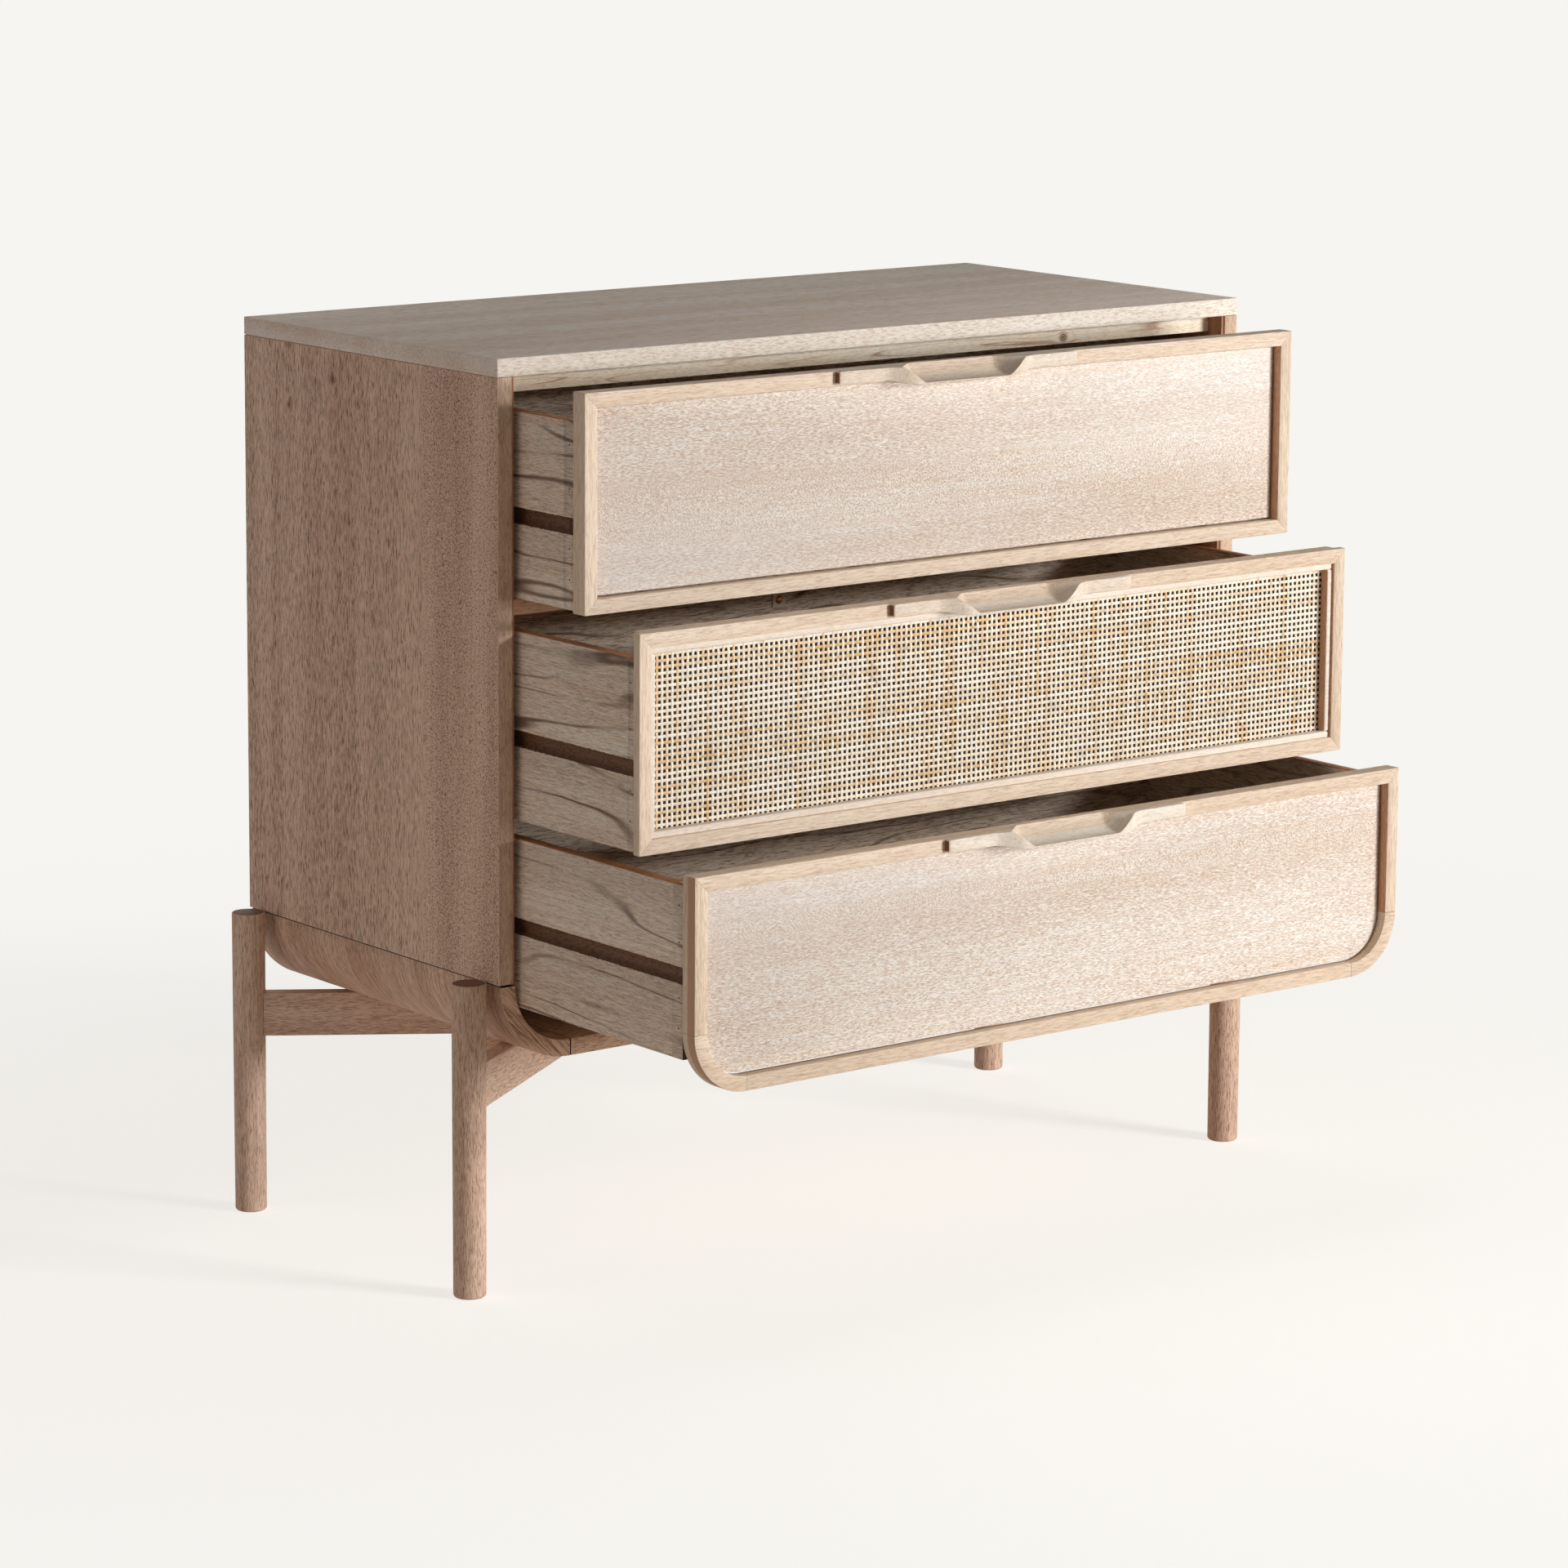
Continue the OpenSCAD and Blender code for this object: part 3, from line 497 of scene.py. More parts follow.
def inward(points):
    """Unit normals into a closed outline: square to the line between both neighbours, turned
    to the side on which the outline's area lies."""
    ahead = np.roll(points, -1, 0) - np.roll(points, 1, 0)
    normal = np.stack([-ahead[:, 1], ahead[:, 0]], 1)
    normal /= np.linalg.norm(normal, axis=1, keepdims=True)
    x, y = points.T
    return normal * np.sign(np.sum(x * np.roll(y, -1) - y * np.roll(x, -1)))


print("points round an eased board:", len(eased(rectangle((0, 0), (16, 420)), 0.8)[0]))


# %% Solids
def spread(x, y, z):
    """Points from their three parts, which are spread to one shape."""
    return np.stack(np.broadcast_arrays(x, y, z), -1)


def tube(rings, marks):
    """Closed solids through rings of shape (..., count, ring, 3): four-sided faces between
    neighbouring rings and one flat face over each end."""
    count, around = rings.shape[-3:-1]
    index = np.arange(rings[..., 0].size).reshape(-1, count, around)
    first, second = index[:, :-1], index[:, 1:]
    sides = np.stack([first, np.roll(first, -1, 2), np.roll(second, -1, 2), second], -1)
    ends = np.vstack([index[:, 0, ::-1], index[:, -1]])
    marks = np.broadcast_to(marks, rings.shape[:-1])
    return rings.reshape(-1, 3), [sides.reshape(-1, 4), ends], marks.reshape(-1)


def carried(place, corners, start, end, ease=0.8, steps=2):
    """Outline carried straight from start to end. Each is a number, or a function of the
    outline's points, as at a mitre. `place` turns (along, first, second) into x, y and z. The
    end rings follow a quarter circle of radius `ease`: they slip along and draw in together."""
    points, marks = eased(corners, ease, steps)
    largest = float(np.max(ease))
    turn = np.linspace(0, math.pi / 2, steps + 1)
    slip = largest * (1 - np.cos(turn))[:, None]
    inset = 0.7 * largest * (1 - np.sin(turn))
    rim = 1 - np.abs(4 * turn / math.pi - 1)
    ring = points + inward(points) * inset[:, None, None]
    near, far = (stop(ring) if callable(stop) else np.full(ring.shape[:-1], float(stop))
                 for stop in (start, end))
    along = np.vstack([near + slip, (far - slip)[::-1]])
    ring = np.vstack([ring, ring[::-1]])
    edge = np.maximum(marks, np.hstack([rim, rim[::-1]])[:, None])
    return tube(place(along, ring[..., 0], ring[..., 1]), edge)


def towards(axis):
    """Place of an outline that is carried along an axis: its two sides are the other axes."""
    def place(along, *others):
        parts = list(others)
        parts.insert("xyz".index(axis), along)
        return spread(*parts)
    return place


def box_mm(node):
    """Lowest and highest corner of a CAD node in millimetres."""
    return [np.array(corner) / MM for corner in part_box(node)]


def board(node, axis, ease=0.8, trim=(0, 0)):
    """A CAD node's box as a board whose profile is a rectangle carried along the given axis.
    The trims leave a hairline joint at its start and its end."""
    low, high = box_mm(node)
    s = "xyz".index(axis)
    others = [k for k in range(3) if k != s]
    corners = rectangle(low[others], high[others])
    return carried(towards(axis), corners, low[s] + trim[0], high[s] - trim[1], ease)


print("points of the top board:", len(board("top_panel", "x")[0]))


# %% From arrays to an object
def build(name, shapes, node, paints, body="carcass", smooth=0.0, choose=None,
          mark="arris"):
    """One object from closed shapes in millimetres, which replaces a CAD node. A shape whose
    signed volume is negative is turned inside out. Edges up to `smooth` degrees are shaded
    round, `choose` gives the number of the paint for the middle and the normal of each face,
    and `mark` names what the shapes mark."""
    paints = [finishes[paint] for paint in paints.split()]
    places, sizes, corners, marks, finish, offset = [], [], [], [], [], 0
    for spots, blocks, edge in shapes:
        volume = 0.0
        for block in blocks:
            for k in range(1, block.shape[1] - 1):
                fan = np.cross(spots[block[:, k]], spots[block[:, k + 1]])
                volume += float(np.sum(spots[block[:, 0]] * fan))
        for number, block in enumerate(blocks):
            block = block[:, ::-1] if volume < 0 else block
            corners.append((block + offset).reshape(-1))
            sizes.append(np.full(len(block), block.shape[1]))
            if choose:
                a, b, c, d = (spots[block[:, k]] for k in range(4))
                normal = np.cross(c - a, d - b)
                normal /= np.maximum(np.linalg.norm(normal, axis=1, keepdims=True), 1e-9)
                finish.append(choose(spots[block].mean(1), normal))
            else:
                finish.append(np.full(len(block), min(number, len(paints) - 1)))
        places.append(spots * MM)
        marks.append(edge)
        offset += len(spots)
    places, sizes, corners, marks, finish = map(
        np.concatenate, (places, sizes, corners, marks, finish))
    mesh = bpy.data.meshes.new(name)
    mesh.vertices.add(len(places))
    mesh.loops.add(len(corners))
    mesh.polygons.add(len(sizes))
    mesh.vertices.foreach_set("co", places.astype(np.float32).reshape(-1))
    mesh.loops.foreach_set("vertex_index", corners.astype(np.int32))
    mesh.polygons.foreach_set("loop_start", (np.cumsum(sizes) - sizes).astype(np.int32))
    mesh.polygons.foreach_set("material_index", finish.astype(np.int32))
    mesh.update(calc_edges=True)
    mesh.validate()
    marked = mesh.attributes.new(mark, "FLOAT", "POINT")
    marked.data.foreach_set("value", marks.astype(np.float32))
    if smooth:
        mesh.polygons.foreach_set("use_smooth", np.ones(len(sizes), bool))
        mesh.set_sharp_from_angle(angle=math.radians(smooth))
    for paint in paints:
        mesh.materials.append(paint)
    piece = put(name, mesh)
    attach(piece, body)
    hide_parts(node)
    print(name, len(sizes), "faces")


# %% [markdown]
# ## The carcass
# The top, the sides, the bottom board and the rails are flat boards, so they need no
# subdivision, only eased edges and a hairline joint where two of them meet. The lower corners
# are moulded from solid wood: a quarter ring with a short flat tail, as deep as the chest.

# %% Boards
SIDE_FRONT_Y, SIDE_FOOT_Z = -67.2, 294.0
build("top_board", [board("top_panel", "x", 0.9)], "top_panel",
      "top_wood top_front", choose=lambda middle, normal: normal[:, 1] < -0.5)
# Each side's front edge takes darker tones and its foot a near black, both as painted shade.
for side in ("left", "right"):
    node = "side_panel_" + side
    build("side_board_" + side, [board(node, "z", 0.9, (1.5, 0.4))], node,
          "side_wood side_front joint_end", choose=lambda middle, normal: np.select(
              [middle[:, 1] < SIDE_FRONT_Y, middle[:, 2] < SIDE_FOOT_Z], [1, 2], 0))
# The bottom board's ends take the painted shade of the joints.
build("bottom_board", [board("bottom_panel", "x", 0.5, (1.0, 1.0))], "bottom_panel",
      "base_wood joint_end",
      choose=lambda middle, normal: np.abs(normal[:, 0]) > 0.5)
for rail, paint in (("front_rail", "rail_wood"), ("cross_rail", "cross_wood")):
    build(rail + "_bar", [board(rail, "x", 0.6)], rail, paint)

# %% Curved corners
CORNER_OUT, CORNER_IN, CORNER_TAIL = 75.0, 59.0, 3.0
CORNER_JOINT_Z, CORNER_JOINT_X = 291.6, 369.8


def corner_block(side):
    """Quarter ring: points at an even turn on the outer circle, then back along the inner one,
    with the tail at the lower ends, carried along the depth of the chest."""
    low, high = box_mm("curved_corner_" + side)
    way = -1 if side == "left" else 1
    centre_x = low[0] + CORNER_OUT if side == "left" else high[0] - CORNER_OUT
    turn = np.linspace(0, math.pi / 2, 25)
    arc = np.stack([way * np.cos(turn), -np.sin(turn)], 1)
    outer, inner = CORNER_OUT * arc, CORNER_IN * arc[::-1]
    tail = np.array([[-way * CORNER_TAIL, -CORNER_OUT], [-way * CORNER_TAIL, -CORNER_IN]])
    outline = np.vstack([outer, tail, inner]) + [centre_x, high[2]]
    ease = np.zeros(len(outline))
    ease[[0, -1]] = 0.7
    return carried(towards("y"), outline, low[1], high[1], ease)


def corner_end(middle, normal):
    """Which finish a face takes: 1 at both joints, with painted shade, 2 on the front and the back.
    """
    at_joint = (middle[:, 2] > CORNER_JOINT_Z) | (np.abs(middle[:, 0]) < CORNER_JOINT_X)
    return np.select([at_joint, np.abs(normal[:, 1]) > 0.9], [1, 2], 0)


for side in ("left", "right"):
    build("lower_corner_" + side, [corner_block(side)], "curved_corner_" + side,
          f"corner_{side} joint_end corner_front_{side}", smooth=20, choose=corner_end)

# %% [markdown]
# ## The base
# The legs are turned, so each is a surface of revolution: a radius for each height, turned
# about the upright axis. Their tops show end grain, which is darker. The arms are bars with
# one end hollowed to fit round the leg, so the carried rectangle starts on the leg's circle.

# %% Legs
LEG_TOP, LEG_FOOT, LEG_HIGH, FOOT_ROUND, TOP_EASE = 16.0, 15.3, 296.0, 3.0, 0.9


def turned_leg(node, around=48):
    """Radius against height: a quarter round at the foot, a straight taper, a small quarter
    round at the top. Each pair becomes a ring of evenly spaced points."""
    x, y, _ = np.mean(box_mm(node), 0)
    turn = np.linspace(0, math.pi / 2, 5)
    sine, cosine = 1 - np.sin(turn), 1 - np.cos(turn)
    foot = np.stack([LEG_FOOT - FOOT_ROUND * sine, FOOT_ROUND * cosine], 1)
    top = np.stack([LEG_TOP - TOP_EASE * cosine, LEG_HIGH - TOP_EASE * sine], 1)
    radius, height = np.vstack([foot, top]).T[..., None]
    angle = np.linspace(0, 2 * math.pi, around, endpoint=False)
    return tube(spread(x + radius * np.cos(angle), y + radius * np.sin(angle), height), 0.0)


for leg in ("front_left", "front_right", "rear_left", "rear_right"):
    build("round_leg_" + leg, [turned_leg("leg_" + leg)], "leg_" + leg,
          "leg_wood end_grain", smooth=30)

# %% Arms
ARM_ANGLE, ARM_THICK, ARM_FIT = math.radians(34), 17.0, 0.1


def arm_bar(name):
    """Rectangle carried from the leg's circle to the face of the centre rail. With v across the
    bar, it starts sqrt(r^2 - v^2) from the leg's axis and ends where its line meets the face."""
    low, high = box_mm("arm_" + name)
    leg = np.mean(box_mm("leg_" + name), 0)
    along = np.array([math.cos(ARM_ANGLE) * (1 if "left" in name else -1),
                      math.sin(ARM_ANGLE) * (1 if "front" in name else -1)])
    across = np.array([-along[1], along[0]])
    face = box_mm("centre_rail")[0 if "front" in name else 1][1]
    half = ARM_THICK / 2

    def place(s, v, z):
        return spread(*(leg[k] + s * along[k] + v * across[k] for k in (0, 1)), z)

    def start(ring):
        return np.sqrt((LEG_TOP + ARM_FIT) ** 2 - ring[..., 0] ** 2)

    def end(ring):
        return (face - leg[1] - ring[..., 0] * across[1]) / along[1]

    return carried(place, rectangle((-half, low[2]), (half, high[2])), start, end, 0.6)


for arm, paint in (("front_left", "arm_rising"), ("rear_right", "arm_rising"),
                   ("front_right", "arm_falling"), ("rear_left", "arm_falling")):
    build("base_arm_" + arm, [arm_bar(arm)], "arm_" + arm, paint)
build("base_rail", [board("centre_rail", "x", 0.6)], "centre_rail", "base_wood")

# %% [markdown]
# ## Drawer fronts
# A front is a frame of members that meet in mitres, so a member starts later the further a
# point lies from the outer edge. The upper rail has the back half of the finger scoop cut into
# it. Its top is a height for each place: zero outside the scoop, and otherwise the lower half
# of a circle about an axis before and above the front. The circle shrinks towards both ends
# of the scoop, which gives the scoop its run-out.

# %% The scoop as formulas
SCOOP_RADIUS, SCOOP_UP, SCOOP_OUT, SCOOP_HALF, SCOOP_RUNOUT = 26.0, 10.8, 14.6, 50.0, 34.0


def scoop_radius(x):
    """Full within the half length, then falling softly until it only touches the top: the cube
    of one less the share of the run-out to the power of one and a half."""
    t = np.clip((np.abs(x) - SCOOP_HALF) / SCOOP_RUNOUT, 0, 1)
    return SCOOP_UP + (SCOOP_RADIUS - SCOOP_UP) * (1 - t ** 1.5) ** 3


def scoop_height(x, y):
    """Height of the scooped surface against the top edge at distance y behind the front: the
    axis height less the root of the radius squared less the distance squared, at most zero."""
    square = scoop_radius(x) ** 2 - (y + SCOOP_OUT) ** 2
    return np.minimum(0, SCOOP_UP - np.sqrt(np.maximum(square, 0)))


def scoop_rim(x):
    """Distance behind the front at which the scoop leaves the top edge."""
    return np.sqrt(np.maximum(scoop_radius(x) ** 2 - SCOOP_UP ** 2, 0)) - SCOOP_OUT


def rounded_edge(distance, ease):
    """Drop of a quarter round at a distance from the edge."""
    short = np.clip(ease - distance, 0, ease)
    return ease - np.sqrt(ease ** 2 - short ** 2)


print("deepest point of the scoop in mm:", scoop_height(0.0, -SCOOP_OUT))

# %% Where the fronts are
FRONT_HALF = float(box_mm("top_front_lower_rail")[1][0])
FRONT_DEEP = {"top": 18.0, "middle": 9.0, "bottom": 18.0}
LOWEST = {"top": "lower_rail", "middle": "lower_rail", "bottom": "corners"}
fronts = {}
for drawer, deep in FRONT_DEEP.items():
    low = box_mm(f"{drawer}_front_{LOWEST[drawer]}")[0]
    high = box_mm(f"{drawer}_front_upper_rail")[1]
    fronts[drawer] = {"y": float(low[1]), "low": float(low[2]), "high": float(high[2]),
                      "deep": deep}
print("half width in mm:", round(FRONT_HALF, 2), "fronts:", fronts)

# %% Frame members
FRAME_WIDE, FRONT_EASE, CURVE_OUT = 14.0, 0.9, 58.0
RABBET_Y, RABBET_EDGE = 13.0, 8.0
SCOOP_RANGE, SCOOP_RINGS, PLAIN_FROM = 88, 145, 200


def member_section(deep):
    """Profile of a member as (distance from the outer edge, depth). A deep one has a rabbet."""
    inner = [(FRAME_WIDE, deep)]
    if deep > RABBET_Y:
        inner = [(FRAME_WIDE, RABBET_Y), (RABBET_EDGE, RABBET_Y), (RABBET_EDGE, deep)]
    ease = [FRONT_EASE] * 2 + [0.3] * len(inner) + [0.6]
    return [(0, 0), (FRAME_WIDE, 0), *inner, (0, deep)], ease


def lower_member(front, square_at):
    """Lower rail, carried from mitre to mitre, or between square ends where corners follow."""
    section, ease = member_section(front["deep"])
    start, end = -square_at, square_at
    if not square_at:
        start, end = lambda ring: ring[..., 0] - FRONT_HALF, lambda ring: FRONT_HALF - ring[..., 0]
    return carried(lambda s, u, y: spread(s, front["y"] + y, front["low"] + u),
                   section, start, end, ease)


def stile(front, way, square_from):
    """Upright member on one side, from the lower mitre or a square joint to the upper mitre."""
    section, ease = member_section(front["deep"])
    start = front["low"] + square_from if square_from else lambda ring: front["low"] + ring[..., 0]
    return carried(lambda s, u, y: spread(way * (FRONT_HALF - u), front["y"] + y, s),
                   section, start, lambda ring: front["high"] - ring[..., 0], ease)


def curved_member(front, way):
    """Lower corner of the bottom front: the profile turned through a quarter circle."""
    points, marks = eased(*member_section(front["deep"]))
    turn = np.linspace(0.003, math.pi / 2 - 0.003, 25)[:, None]
    radius = CURVE_OUT - points[:, 0]
    x = way * (FRONT_HALF - CURVE_OUT + radius * np.cos(turn))
    z = front["low"] + CURVE_OUT - radius * np.sin(turn)
    return tube(spread(x, front["y"] + points[:, 1], z), marks)


def upper_member(front):
    """Upper rail: at each x, a ring that goes up the front, over the scooped top and down the
    back. Between the front and the scoop's rim the top has ten steps, behind the rim four."""
    deep, e = front["deep"], FRONT_EASE
    x = np.hstack([[-FRONT_HALF, -FRONT_HALF + 1, -PLAIN_FROM],
                   np.linspace(-SCOOP_RANGE, SCOOP_RANGE, SCOOP_RINGS),
                   [PLAIN_FROM, FRONT_HALF - 1, FRONT_HALF]])[:, None]
    rim = np.clip(scoop_rim(x), e, deep - e - 0.2)
    near = 0.06 * e + (rim - 0.06 * e) * np.linspace(0, 1, 11) ** 1.3
    far = rim + (deep - e - rim) * np.linspace(0, 1, 5)[1:]
    y_top = np.hstack([near, far])
    z_top = np.minimum(-rounded_edge(y_top, e), scoop_height(x, y_top))
    lower = [(e, -FRAME_WIDE), (0.3 * e, -FRAME_WIDE + 0.3 * e), (0.0, -FRAME_WIDE + e)]
    back = [(deep - 0.3 * e, -0.3 * e), (deep, -e), (deep, -FRAME_WIDE)]
    if deep > RABBET_Y:
        back[2:] = [(deep, -RABBET_EDGE), (RABBET_Y, -RABBET_EDGE), (RABBET_Y, -FRAME_WIDE)]
    (lower_y, lower_z), (back_y, back_z) = np.array(lower).T, np.array(back).T
    wide = np.ones_like(x)
    y = np.hstack([wide * lower_y, y_top, wide * back_y])
    z = np.hstack([wide * lower_z, z_top, wide * back_z])
    marks = np.zeros(y.shape)
    marks[:, 1] = 1
    marks[:, 4:7] = y[:, 4:7] < e
    x = np.broadcast_to(x, y.shape).copy()
    x[0], x[-1] = -FRONT_HALF - z[0], FRONT_HALF + z[-1]
    x[1], x[-2] = x[0] + 0.5, x[-1] - 0.5
    return tube(spread(x, front["y"] + y, front["high"] + z), marks)


print("points of a section with a rabbet:", len(eased(*member_section(18.0))[0]))

# %% [markdown]
# ## Handles
# A handle is a bar on the upper rail that swells forwards and downwards in its middle, where
# the scoop leaves a thin lip. It is one surface of rings along X, whose depth and height
# follow a smooth step, and whose top is the scoop's height.

# %% Handle
HANDLE_HALF, HANDLE_HIGH, HANDLE_OUT, SWELL_HIGH, SWELL_OUT = 144.0, 12.0, 6.4, 4.5, 11.6
SWELL_START, SWELL_FULL, SWELL_RANGE, SWELL_RINGS = 92.0, 58.0, 94, 189
HANDLE_ENDS = np.array([0.0, 0.5, 1.6, 12, 30])
DRAWN_IN = 0.80, 0.93


def swelling(x):
    """Smooth step from none at the start to full at its inner end: 3 t^2 - 2 t^3."""
    t = np.clip((SWELL_START - np.abs(x)) / (SWELL_START - SWELL_FULL), 0, 1)
    return t * t * (3 - 2 * t)


def handle_bar(front):
    """Rings of a handle: back, underside, front face, and the scooped top in fourteen steps.
    The first two and the last two rings are drawn in towards their middle."""
    x = np.hstack([-HANDLE_HALF + HANDLE_ENDS,
                   np.linspace(-SWELL_RANGE, SWELL_RANGE, SWELL_RINGS),
                   (HANDLE_HALF - HANDLE_ENDS)[::-1]])[:, None]
    e = FRONT_EASE
    out = HANDLE_OUT + SWELL_OUT * swelling(x)
    high = HANDLE_HIGH + SWELL_HIGH * swelling(x)
    rim = np.clip(scoop_rim(x), -out + e + 0.3, -0.2)
    start = -out + 0.08 * e
    near = start + (rim - start) * np.linspace(0, 1, 11)
    far = rim - rim * np.linspace(0, 1, 4)[1:]
    y_top = np.hstack([near, far])
    lip = np.minimum(e, 0.45 * (scoop_height(x, -out) + high))
    z_top = np.minimum(0, scoop_height(x, y_top)) - rounded_edge(y_top + out, lip)
    y_low = np.hstack([0 * out, -out + lip * 1.4, -out + 0.35 * lip, -out])
    z_low = np.hstack([-high, -high, -high + 0.35 * lip, -high + lip])
    y = np.hstack([y_low, y_top])
    z = np.hstack([z_low, z_top])
    draw = np.ones_like(x)
    draw[[0, -1]], draw[[1, -2]] = DRAWN_IN
    y = np.where(y < -0.01, -out / 2 + (y + out / 2) * draw, y)
    z = -high / 2 + (z + high / 2) * draw
    marks = np.zeros(y.shape)
    marks[:, 2] = 1
    return tube(spread(x, front["y"] + y, front["high"] + z), marks)


print("thickest part of a handle in mm:", HANDLE_OUT + SWELL_OUT, "x", HANDLE_HIGH + SWELL_HIGH)

# %% [markdown]
# ## Panels and frames together
# The wooden panels lie ten millimetres behind the face of their frames, with a narrow shadow
# gap around them. The bottom one follows the curved corners.

# %% Panels
PANEL_BACK, PANEL_THICK, SHADOW_GAP = 10.0, 8.0, 1.5


def panel(front, curved):
    """Outline of the opening drawn in by the shadow gap, carried back by its thickness."""
    inset = FRAME_WIDE + SHADOW_GAP
    half, low, high = FRONT_HALF - inset, front["low"] + inset, front["high"] - inset
    start = front["y"] + PANEL_BACK
    outline, ease = rectangle((-half, low), (half, high)), 0.5
    if curved:
        radius = CURVE_OUT - inset
        turn = np.linspace(0, math.pi / 2, 17)
        arc = radius * np.stack([np.cos(turn), -np.sin(turn)], 1)
        right = arc[::-1] + [half - radius, low + radius]
        left = arc * [-1, 1] + [radius - half, low + radius]
        outline = np.vstack([right, [[half, high], [-half, high]], left])
        ease = np.zeros(len(outline))
        ease[len(right):len(right) + 2] = 0.5
    return carried(towards("y"), outline, start, start + PANEL_THICK, ease)


# %% Which finish goes where
def front_layer(spot):
    """Brown front layer of the lowest front, which its outer sides show."""
    start = fronts["bottom"]["y"] * MM
    return within(spot, "y", start + 0.0004, start + 0.0105, 0.0002), tint(206, 166, 136)


def stile_part(middle, normal):
    """Finish of each stile face: 1 on the inner sides, with painted shade, 2 on the outer sides."""
    reach = np.abs(middle[:, 0])
    inner = np.abs(reach - FRONT_HALF + FRAME_WIDE) < 0.3
    return np.select([reach > FRONT_HALF - 0.2, inner], [2, 1], 0)


def corner_part(middle, normal):
    """Which finish a face of the lower corners takes: 1 on the outside of their curve."""
    return np.hypot(np.abs(middle[:, 0]) - FRONT_HALF + CURVE_OUT,
                    middle[:, 2] - fronts["bottom"]["low"] - CURVE_OUT) > CURVE_OUT - 0.4


wood("layered_side", FRAME, ALONG_Z, 0.86, inks=(front_layer,), **STILE_GRAIN)
print("finishes:", len(finishes))

# %% Frames, panels and handles in place
for drawer, front in fronts.items():
    body, start = drawer + "_drawer", drawer + "_front_"
    curved = drawer == "bottom"
    joint, between_joints = (CURVE_OUT, FRONT_HALF - CURVE_OUT) if curved else (0, 0)
    build(drawer + "_frame_head", [upper_member(front)], start + "upper_rail",
          "rail_face", body, smooth=25)
    build(drawer + "_frame_foot", [lower_member(front, between_joints)], start + "lower_rail",
          "rail_face", body)
    build(drawer + "_frame_stiles", [stile(front, way, joint) for way in (-1, 1)],
          start + "stiles",
          "stile_face stile_inner " + ("layered_side" if curved else "stile_face"), body,
          choose=stile_part)
    build(drawer + "_grip", [handle_bar(front)], drawer + "_handle",
          "handle_wood slot_brown", body, smooth=32)
    if drawer != "middle":
        build(drawer + "_inset", [panel(front, curved)], start + "panel",
              "panel_" + drawer, body)
build("bottom_frame_corners", [curved_member(fronts["bottom"], way) for way in (-1, 1)],
      "bottom_front_corners", "rail_face layered_side", "bottom_drawer",
      choose=corner_part, smooth=25)

# %% [markdown]
# ## Cane
# The webbing is a plain weave of split cane. Each strand is a flat lens carried along a wave:
# it rises over one crossing and dips under the next, and its neighbour does the opposite. One
# array holds all strands of a direction, and an attribute says how golden each stretch is.

# %% Finish of the cane
def cane_finish():
    """Off-white to golden by the strand's own mark, with stains, fine fibres and a slight gloss."""
    begin("cane_skin")
    spot = own_place()
    mark = add("Attribute", out="Fac", attribute_name="gold")
    cloud = noise(spot, (110, 110), 3.0, 0.6)
    gold = between(add("Math ADD", mark, times(cloud, 0.8)), 0.52, 1.5)
    colour = blend_colour(gold, tint(249, 240, 224), tint(216, 172, 106))
    stain = between(noise(spot, (60, 60)), 0.56, 0.74, 0.0, 0.3)
    fibre = noise(spot, (900, 900))
    coat({"Base Color": blend_colour(stain, colour, tint(172, 148, 126)),
          "Roughness": between(fibre, 0.3, 0.7, 0.38, 0.58),
          "Normal": add("Bump", sockets={"Strength": 0.25, "Distance": 0.0002,
                                         "Height": fibre})})


cane_finish()
print("finishes:", len(finishes))

# %% Weave
PITCH, STRAND_WIDE, STRAND_THICK, WAVE = 5.72, 2.75, 0.78, 0.33
# Section of a strand in half widths and half thicknesses: both edges, two points on each face.
LENS = np.array([[-1, 0], [-0.55, -1], [0.55, -1], [1, 0], [0.55, 1], [-0.55, 1]])
tone_of_chance = np.random.default_rng(11)


def cane_layer(name, over, run, first_way, tone_share, tone_base):
    """All strands of one direction: they lie side by side over one axis and run along another.
    The wave is a sine of the distance in pitches, turned over for every second strand, and the
    tone is a number of chance for each strand and a slow drift of chance along it."""
    low, high = box_mm("cane_webbing")
    count, crossings = (round((high[k] - low[k]) / PITCH) for k in (over, run))
    centre = low[over] + (np.arange(count) + 0.5) * (high[over] - low[over]) / count
    step = np.arange(2 * crossings + 1) / 2
    along = low[run] + step * (high[run] - low[run]) / crossings
    way = first_way * (-1.0) ** np.arange(count)
    wave = WAVE * way[:, None, None] * np.sin(math.pi * step)[:, None]
    drift = np.cumsum(tone_of_chance.normal(0, 0.10, (count, len(step))), 1)
    drift -= drift.mean(1, keepdims=True)
    tone = tone_of_chance.uniform(0, 1, (count, 1)) * 0.7 + 0.35 * drift
    section = LENS * [STRAND_WIDE / 2, STRAND_THICK / 2]
    through = (low[1] + high[1]) / 2 + wave + section[:, 1]
    parts = {over: centre[:, None, None] + section[:, 0], 1: through, run: along[:, None]}
    rings = spread(parts[0], parts[1], parts[2])
    marks = np.clip(tone * tone_share + tone_base, 0, 1)[..., None]
    build(name, [tube(rings, marks)], "cane_webbing", "cane_skin",
          "middle_drawer", smooth=50, mark="gold")


cane_layer("cane_uprights", 0, 2, 1, 1.0, 0.0)
cane_layer("cane_crossings", 2, 0, -1, 0.8, 0.25)

# %% Beads
BEAD_WIDE, BEAD_EASE = 6.0, [0.8, 2.2, 0.2, 0.2]


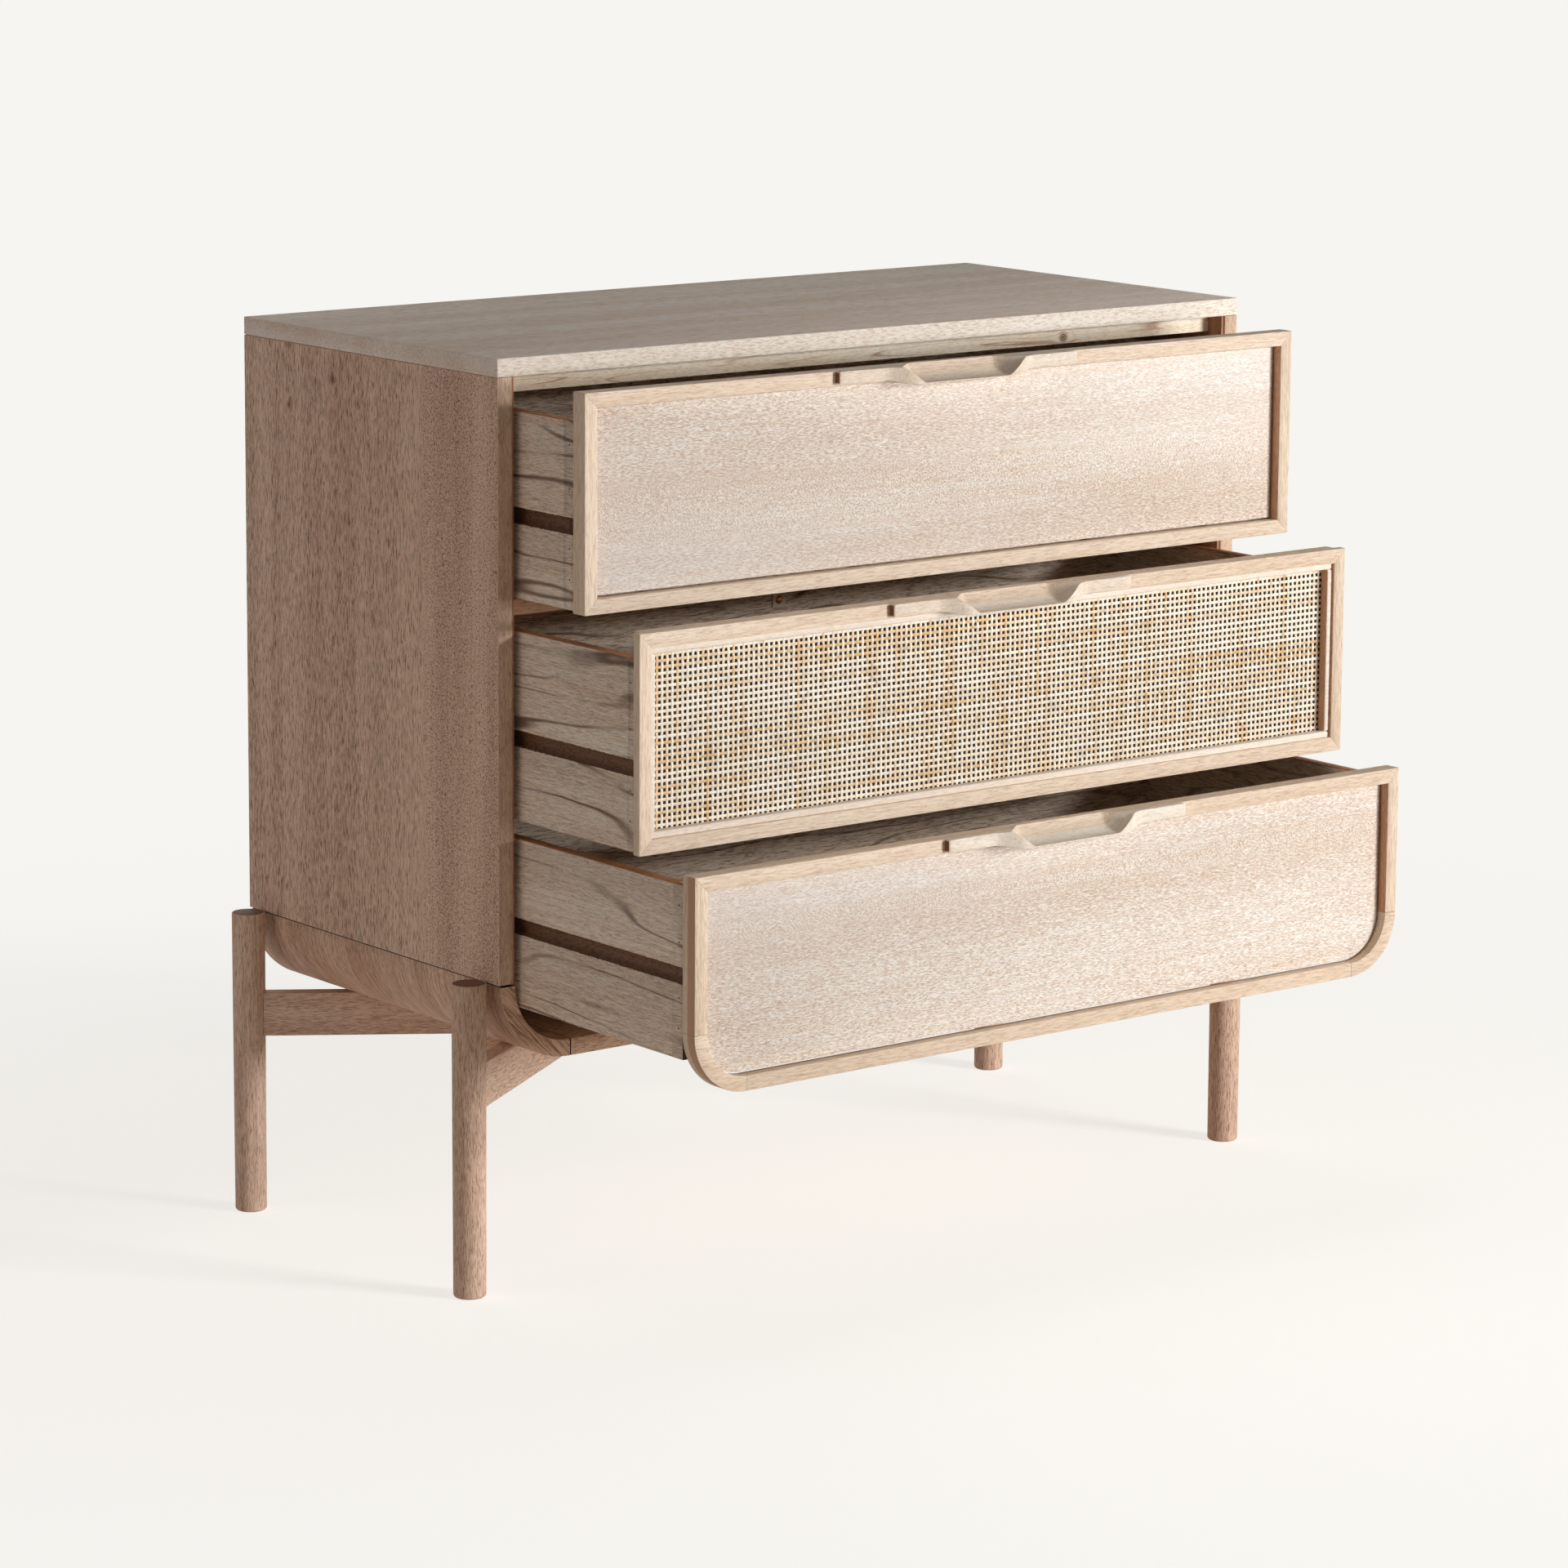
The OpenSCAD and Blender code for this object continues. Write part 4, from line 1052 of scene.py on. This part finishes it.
def beads():
    """Long beads along X and short ones between them: a rectangle with a rounded nose."""
    low, high = box_mm("cane_beads")
    shapes = []
    for across, run, short in ((2, 0, 0), (0, 2, BEAD_WIDE)):
        for edge, way in ((low[across], BEAD_WIDE), (high[across], -BEAD_WIDE)):
            corners = np.array(rectangle((edge, low[1]), (edge + way, high[1])))
            corners = corners[:, ::-1] if across == 2 else corners
            shapes.append(carried(towards("xyz"[run]), corners, low[run] + short,
                                  high[run] - short, BEAD_EASE, 4))
    return shapes


# The beads' sides take the painted shade of the stiles' inner sides.
build("cane_bead_frame", beads(), "cane_beads", "bead_wood stile_inner",
      "middle_drawer", choose=lambda middle, normal: np.abs(normal[:, 0]) > 0.8)

# %% [markdown]
# ## Drawer boxes
# The side of a box is a board with a groove that takes the runner, a narrow groove inside for
# the bottom panel, and a lap at each end, held by brads. Its profile is carried from front to
# back in small steps. In the laps its inner half is pushed out to the lap's depth, and each
# step widens the runner groove by a fraction of a millimetre, as a cutter tears open wood.

# %% Box sides
BOX_HALF, BOX_THICK, LAP, GROOVE_DEEP, JOINT = 426.0, 12.0, 6.0, 5.9, 2.0
GROOVE_LOW, GROOVE_HIGH, BASE_LOW, BASE_HIGH, BASE_DEEP = 69.0, 83.0, 10.0, 15.0, 5.0
BOX_STEPS, TEAR, GROOVE_REACH = 170, 0.28, 8.6
BEHIND_FRONT = {"top": 16.0, "middle": 10.0, "bottom": 16.0}
tear_of_chance = np.random.default_rng(5)


def box_side(low, high, way, front_thick):
    """Profile of (distance in from the outer face, height), then rings of it along the depth.
    In a lap the distance is at most the lap's depth."""
    top = high[2] - low[2]
    e, t, g, b = 0.5, BOX_THICK, GROOVE_DEEP, BOX_THICK - BASE_DEEP
    inwards = np.array([0, 0, e, g, g, e, 0, 0, e, t - e, t, t, b, b, t, t, t - e, e])
    height = np.array([e, GROOVE_LOW - e, GROOVE_LOW, GROOVE_LOW, GROOVE_HIGH, GROOVE_HIGH,
                       GROOVE_HIGH + e, top - e, top, top, top - e, BASE_HIGH, BASE_HIGH,
                       BASE_LOW, BASE_LOW, e, 0, 0])
    front_lap, back_lap = low[1] + front_thick, high[1] - BOX_THICK
    y = np.hstack([low[1] + JOINT, front_lap, np.linspace(front_lap, back_lap, BOX_STEPS),
                   back_lap, high[1]])[:, None]
    lap = np.ones(y.shape, bool)
    lap[2:-2] = False
    inwards = np.where(lap, np.minimum(inwards, LAP), inwards)
    height = np.broadcast_to(height, inwards.shape).copy()
    tear = np.abs(tear_of_chance.normal(0, TEAR, (len(y), 2)))
    height[:, 1:3] -= tear[:, :1]
    height[:, 5:7] += tear[:, 1:]
    return tube(spread(way * (BOX_HALF - inwards), y, low[2] + height), 0.0)


def box_paint(low, high):
    """Paint numbers: 0 outside, 1 in the runner groove, with painted shade, 2 on the top edge, 3
    inside, 4 in the joint with the front, with painted shade."""
    def choose(middle, normal):
        inwards, height = BOX_HALF - np.abs(middle[:, 0]), middle[:, 2] - low[2]
        off_groove = np.abs(height - (GROOVE_LOW + GROOVE_HIGH) / 2)
        in_groove = (inwards > 0.1) & (inwards < LAP) & (off_groove < GROOVE_REACH)
        on_top = height > high[2] - low[2] - 0.4
        inside = inwards > GROOVE_DEEP + 0.05
        return np.select([normal[:, 1] < -0.9, in_groove, on_top, inside], [4, 1, 2, 3], 0)
    return choose


for drawer, front_thick in BEHIND_FRONT.items():
    for side, way in (("left", -1), ("right", 1)):
        node = f"{drawer}_box_{side}"
        low, high = box_mm(node)
        build(f"{drawer}_side_{side}", [box_side(low, high, way, front_thick)], node,
              "box_wood groove_brown box_edge box_inside joint_end", drawer + "_drawer",
              choose=box_paint(low, high))

# %% Brads
BRAD_ROUND, BRAD_LONG, BRAD_PROUD = 0.9, 25.0, 0.06
LOW_SHARES, HIGH_SHARES = (0.4, 0.8), (0.3, 0.75)


def brads(drawer, around=12):
    """Cylinders through the laps: circles of points at both ends, and a slightly domed head."""
    pins_low, pins_high = box_mm(drawer + "_box_pins")
    low, high = box_mm(drawer + "_box_left")
    upper = high[2] - low[2] - GROOVE_HIGH
    heights = [GROOVE_LOW * k for k in LOW_SHARES] + [GROOVE_HIGH + upper * k for k in HIGH_SHARES]
    angle = np.linspace(0, 2 * math.pi, around, endpoint=False)
    inwards = np.array([-BRAD_PROUD, 0, BRAD_LONG])[:, None]
    radius = np.array([0.7, 1.0, 1.0])[:, None] * BRAD_ROUND
    return [tube(spread(way * (BOX_HALF - inwards), y + radius * np.cos(angle),
                        low[2] + z + radius * np.sin(angle)), 0.0)
            for way in (-1, 1)
            for y in (pins_low[1] + BRAD_ROUND, pins_high[1] - BRAD_ROUND)
            for z in heights]


for drawer in fronts:
    build(drawer + "_brads", brads(drawer), drawer + "_box_pins", "brad_steel",
          drawer + "_drawer")

# %% [markdown]
# ## Finishes of the pieces that stay as the CAD has them
# A node whose shape is right only needs its finish: its material slots are filled, and its
# mesh is left alone.

# %% Dress the CAD nodes
DRESSED = {
    "side_linings": "lining_wood", "back_panel": "back_board", "middle_front_board": "recess_board",
    "top_box_front": "box_across", "bottom_box_front": "box_across",
    "stop_plate": "plate_steel", "stop_screw": "screw_brass",
}
for drawer in fronts:
    DRESSED |= {drawer + "_runners": "runner_wood", drawer + "_box_back": "box_across",
                drawer + "_box_bottom": "box_base"}
for node, paint in DRESSED.items():
    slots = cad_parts[node].data.materials
    slots.clear()
    slots.append(finishes[paint])
print("dressed CAD nodes:", len(DRESSED))
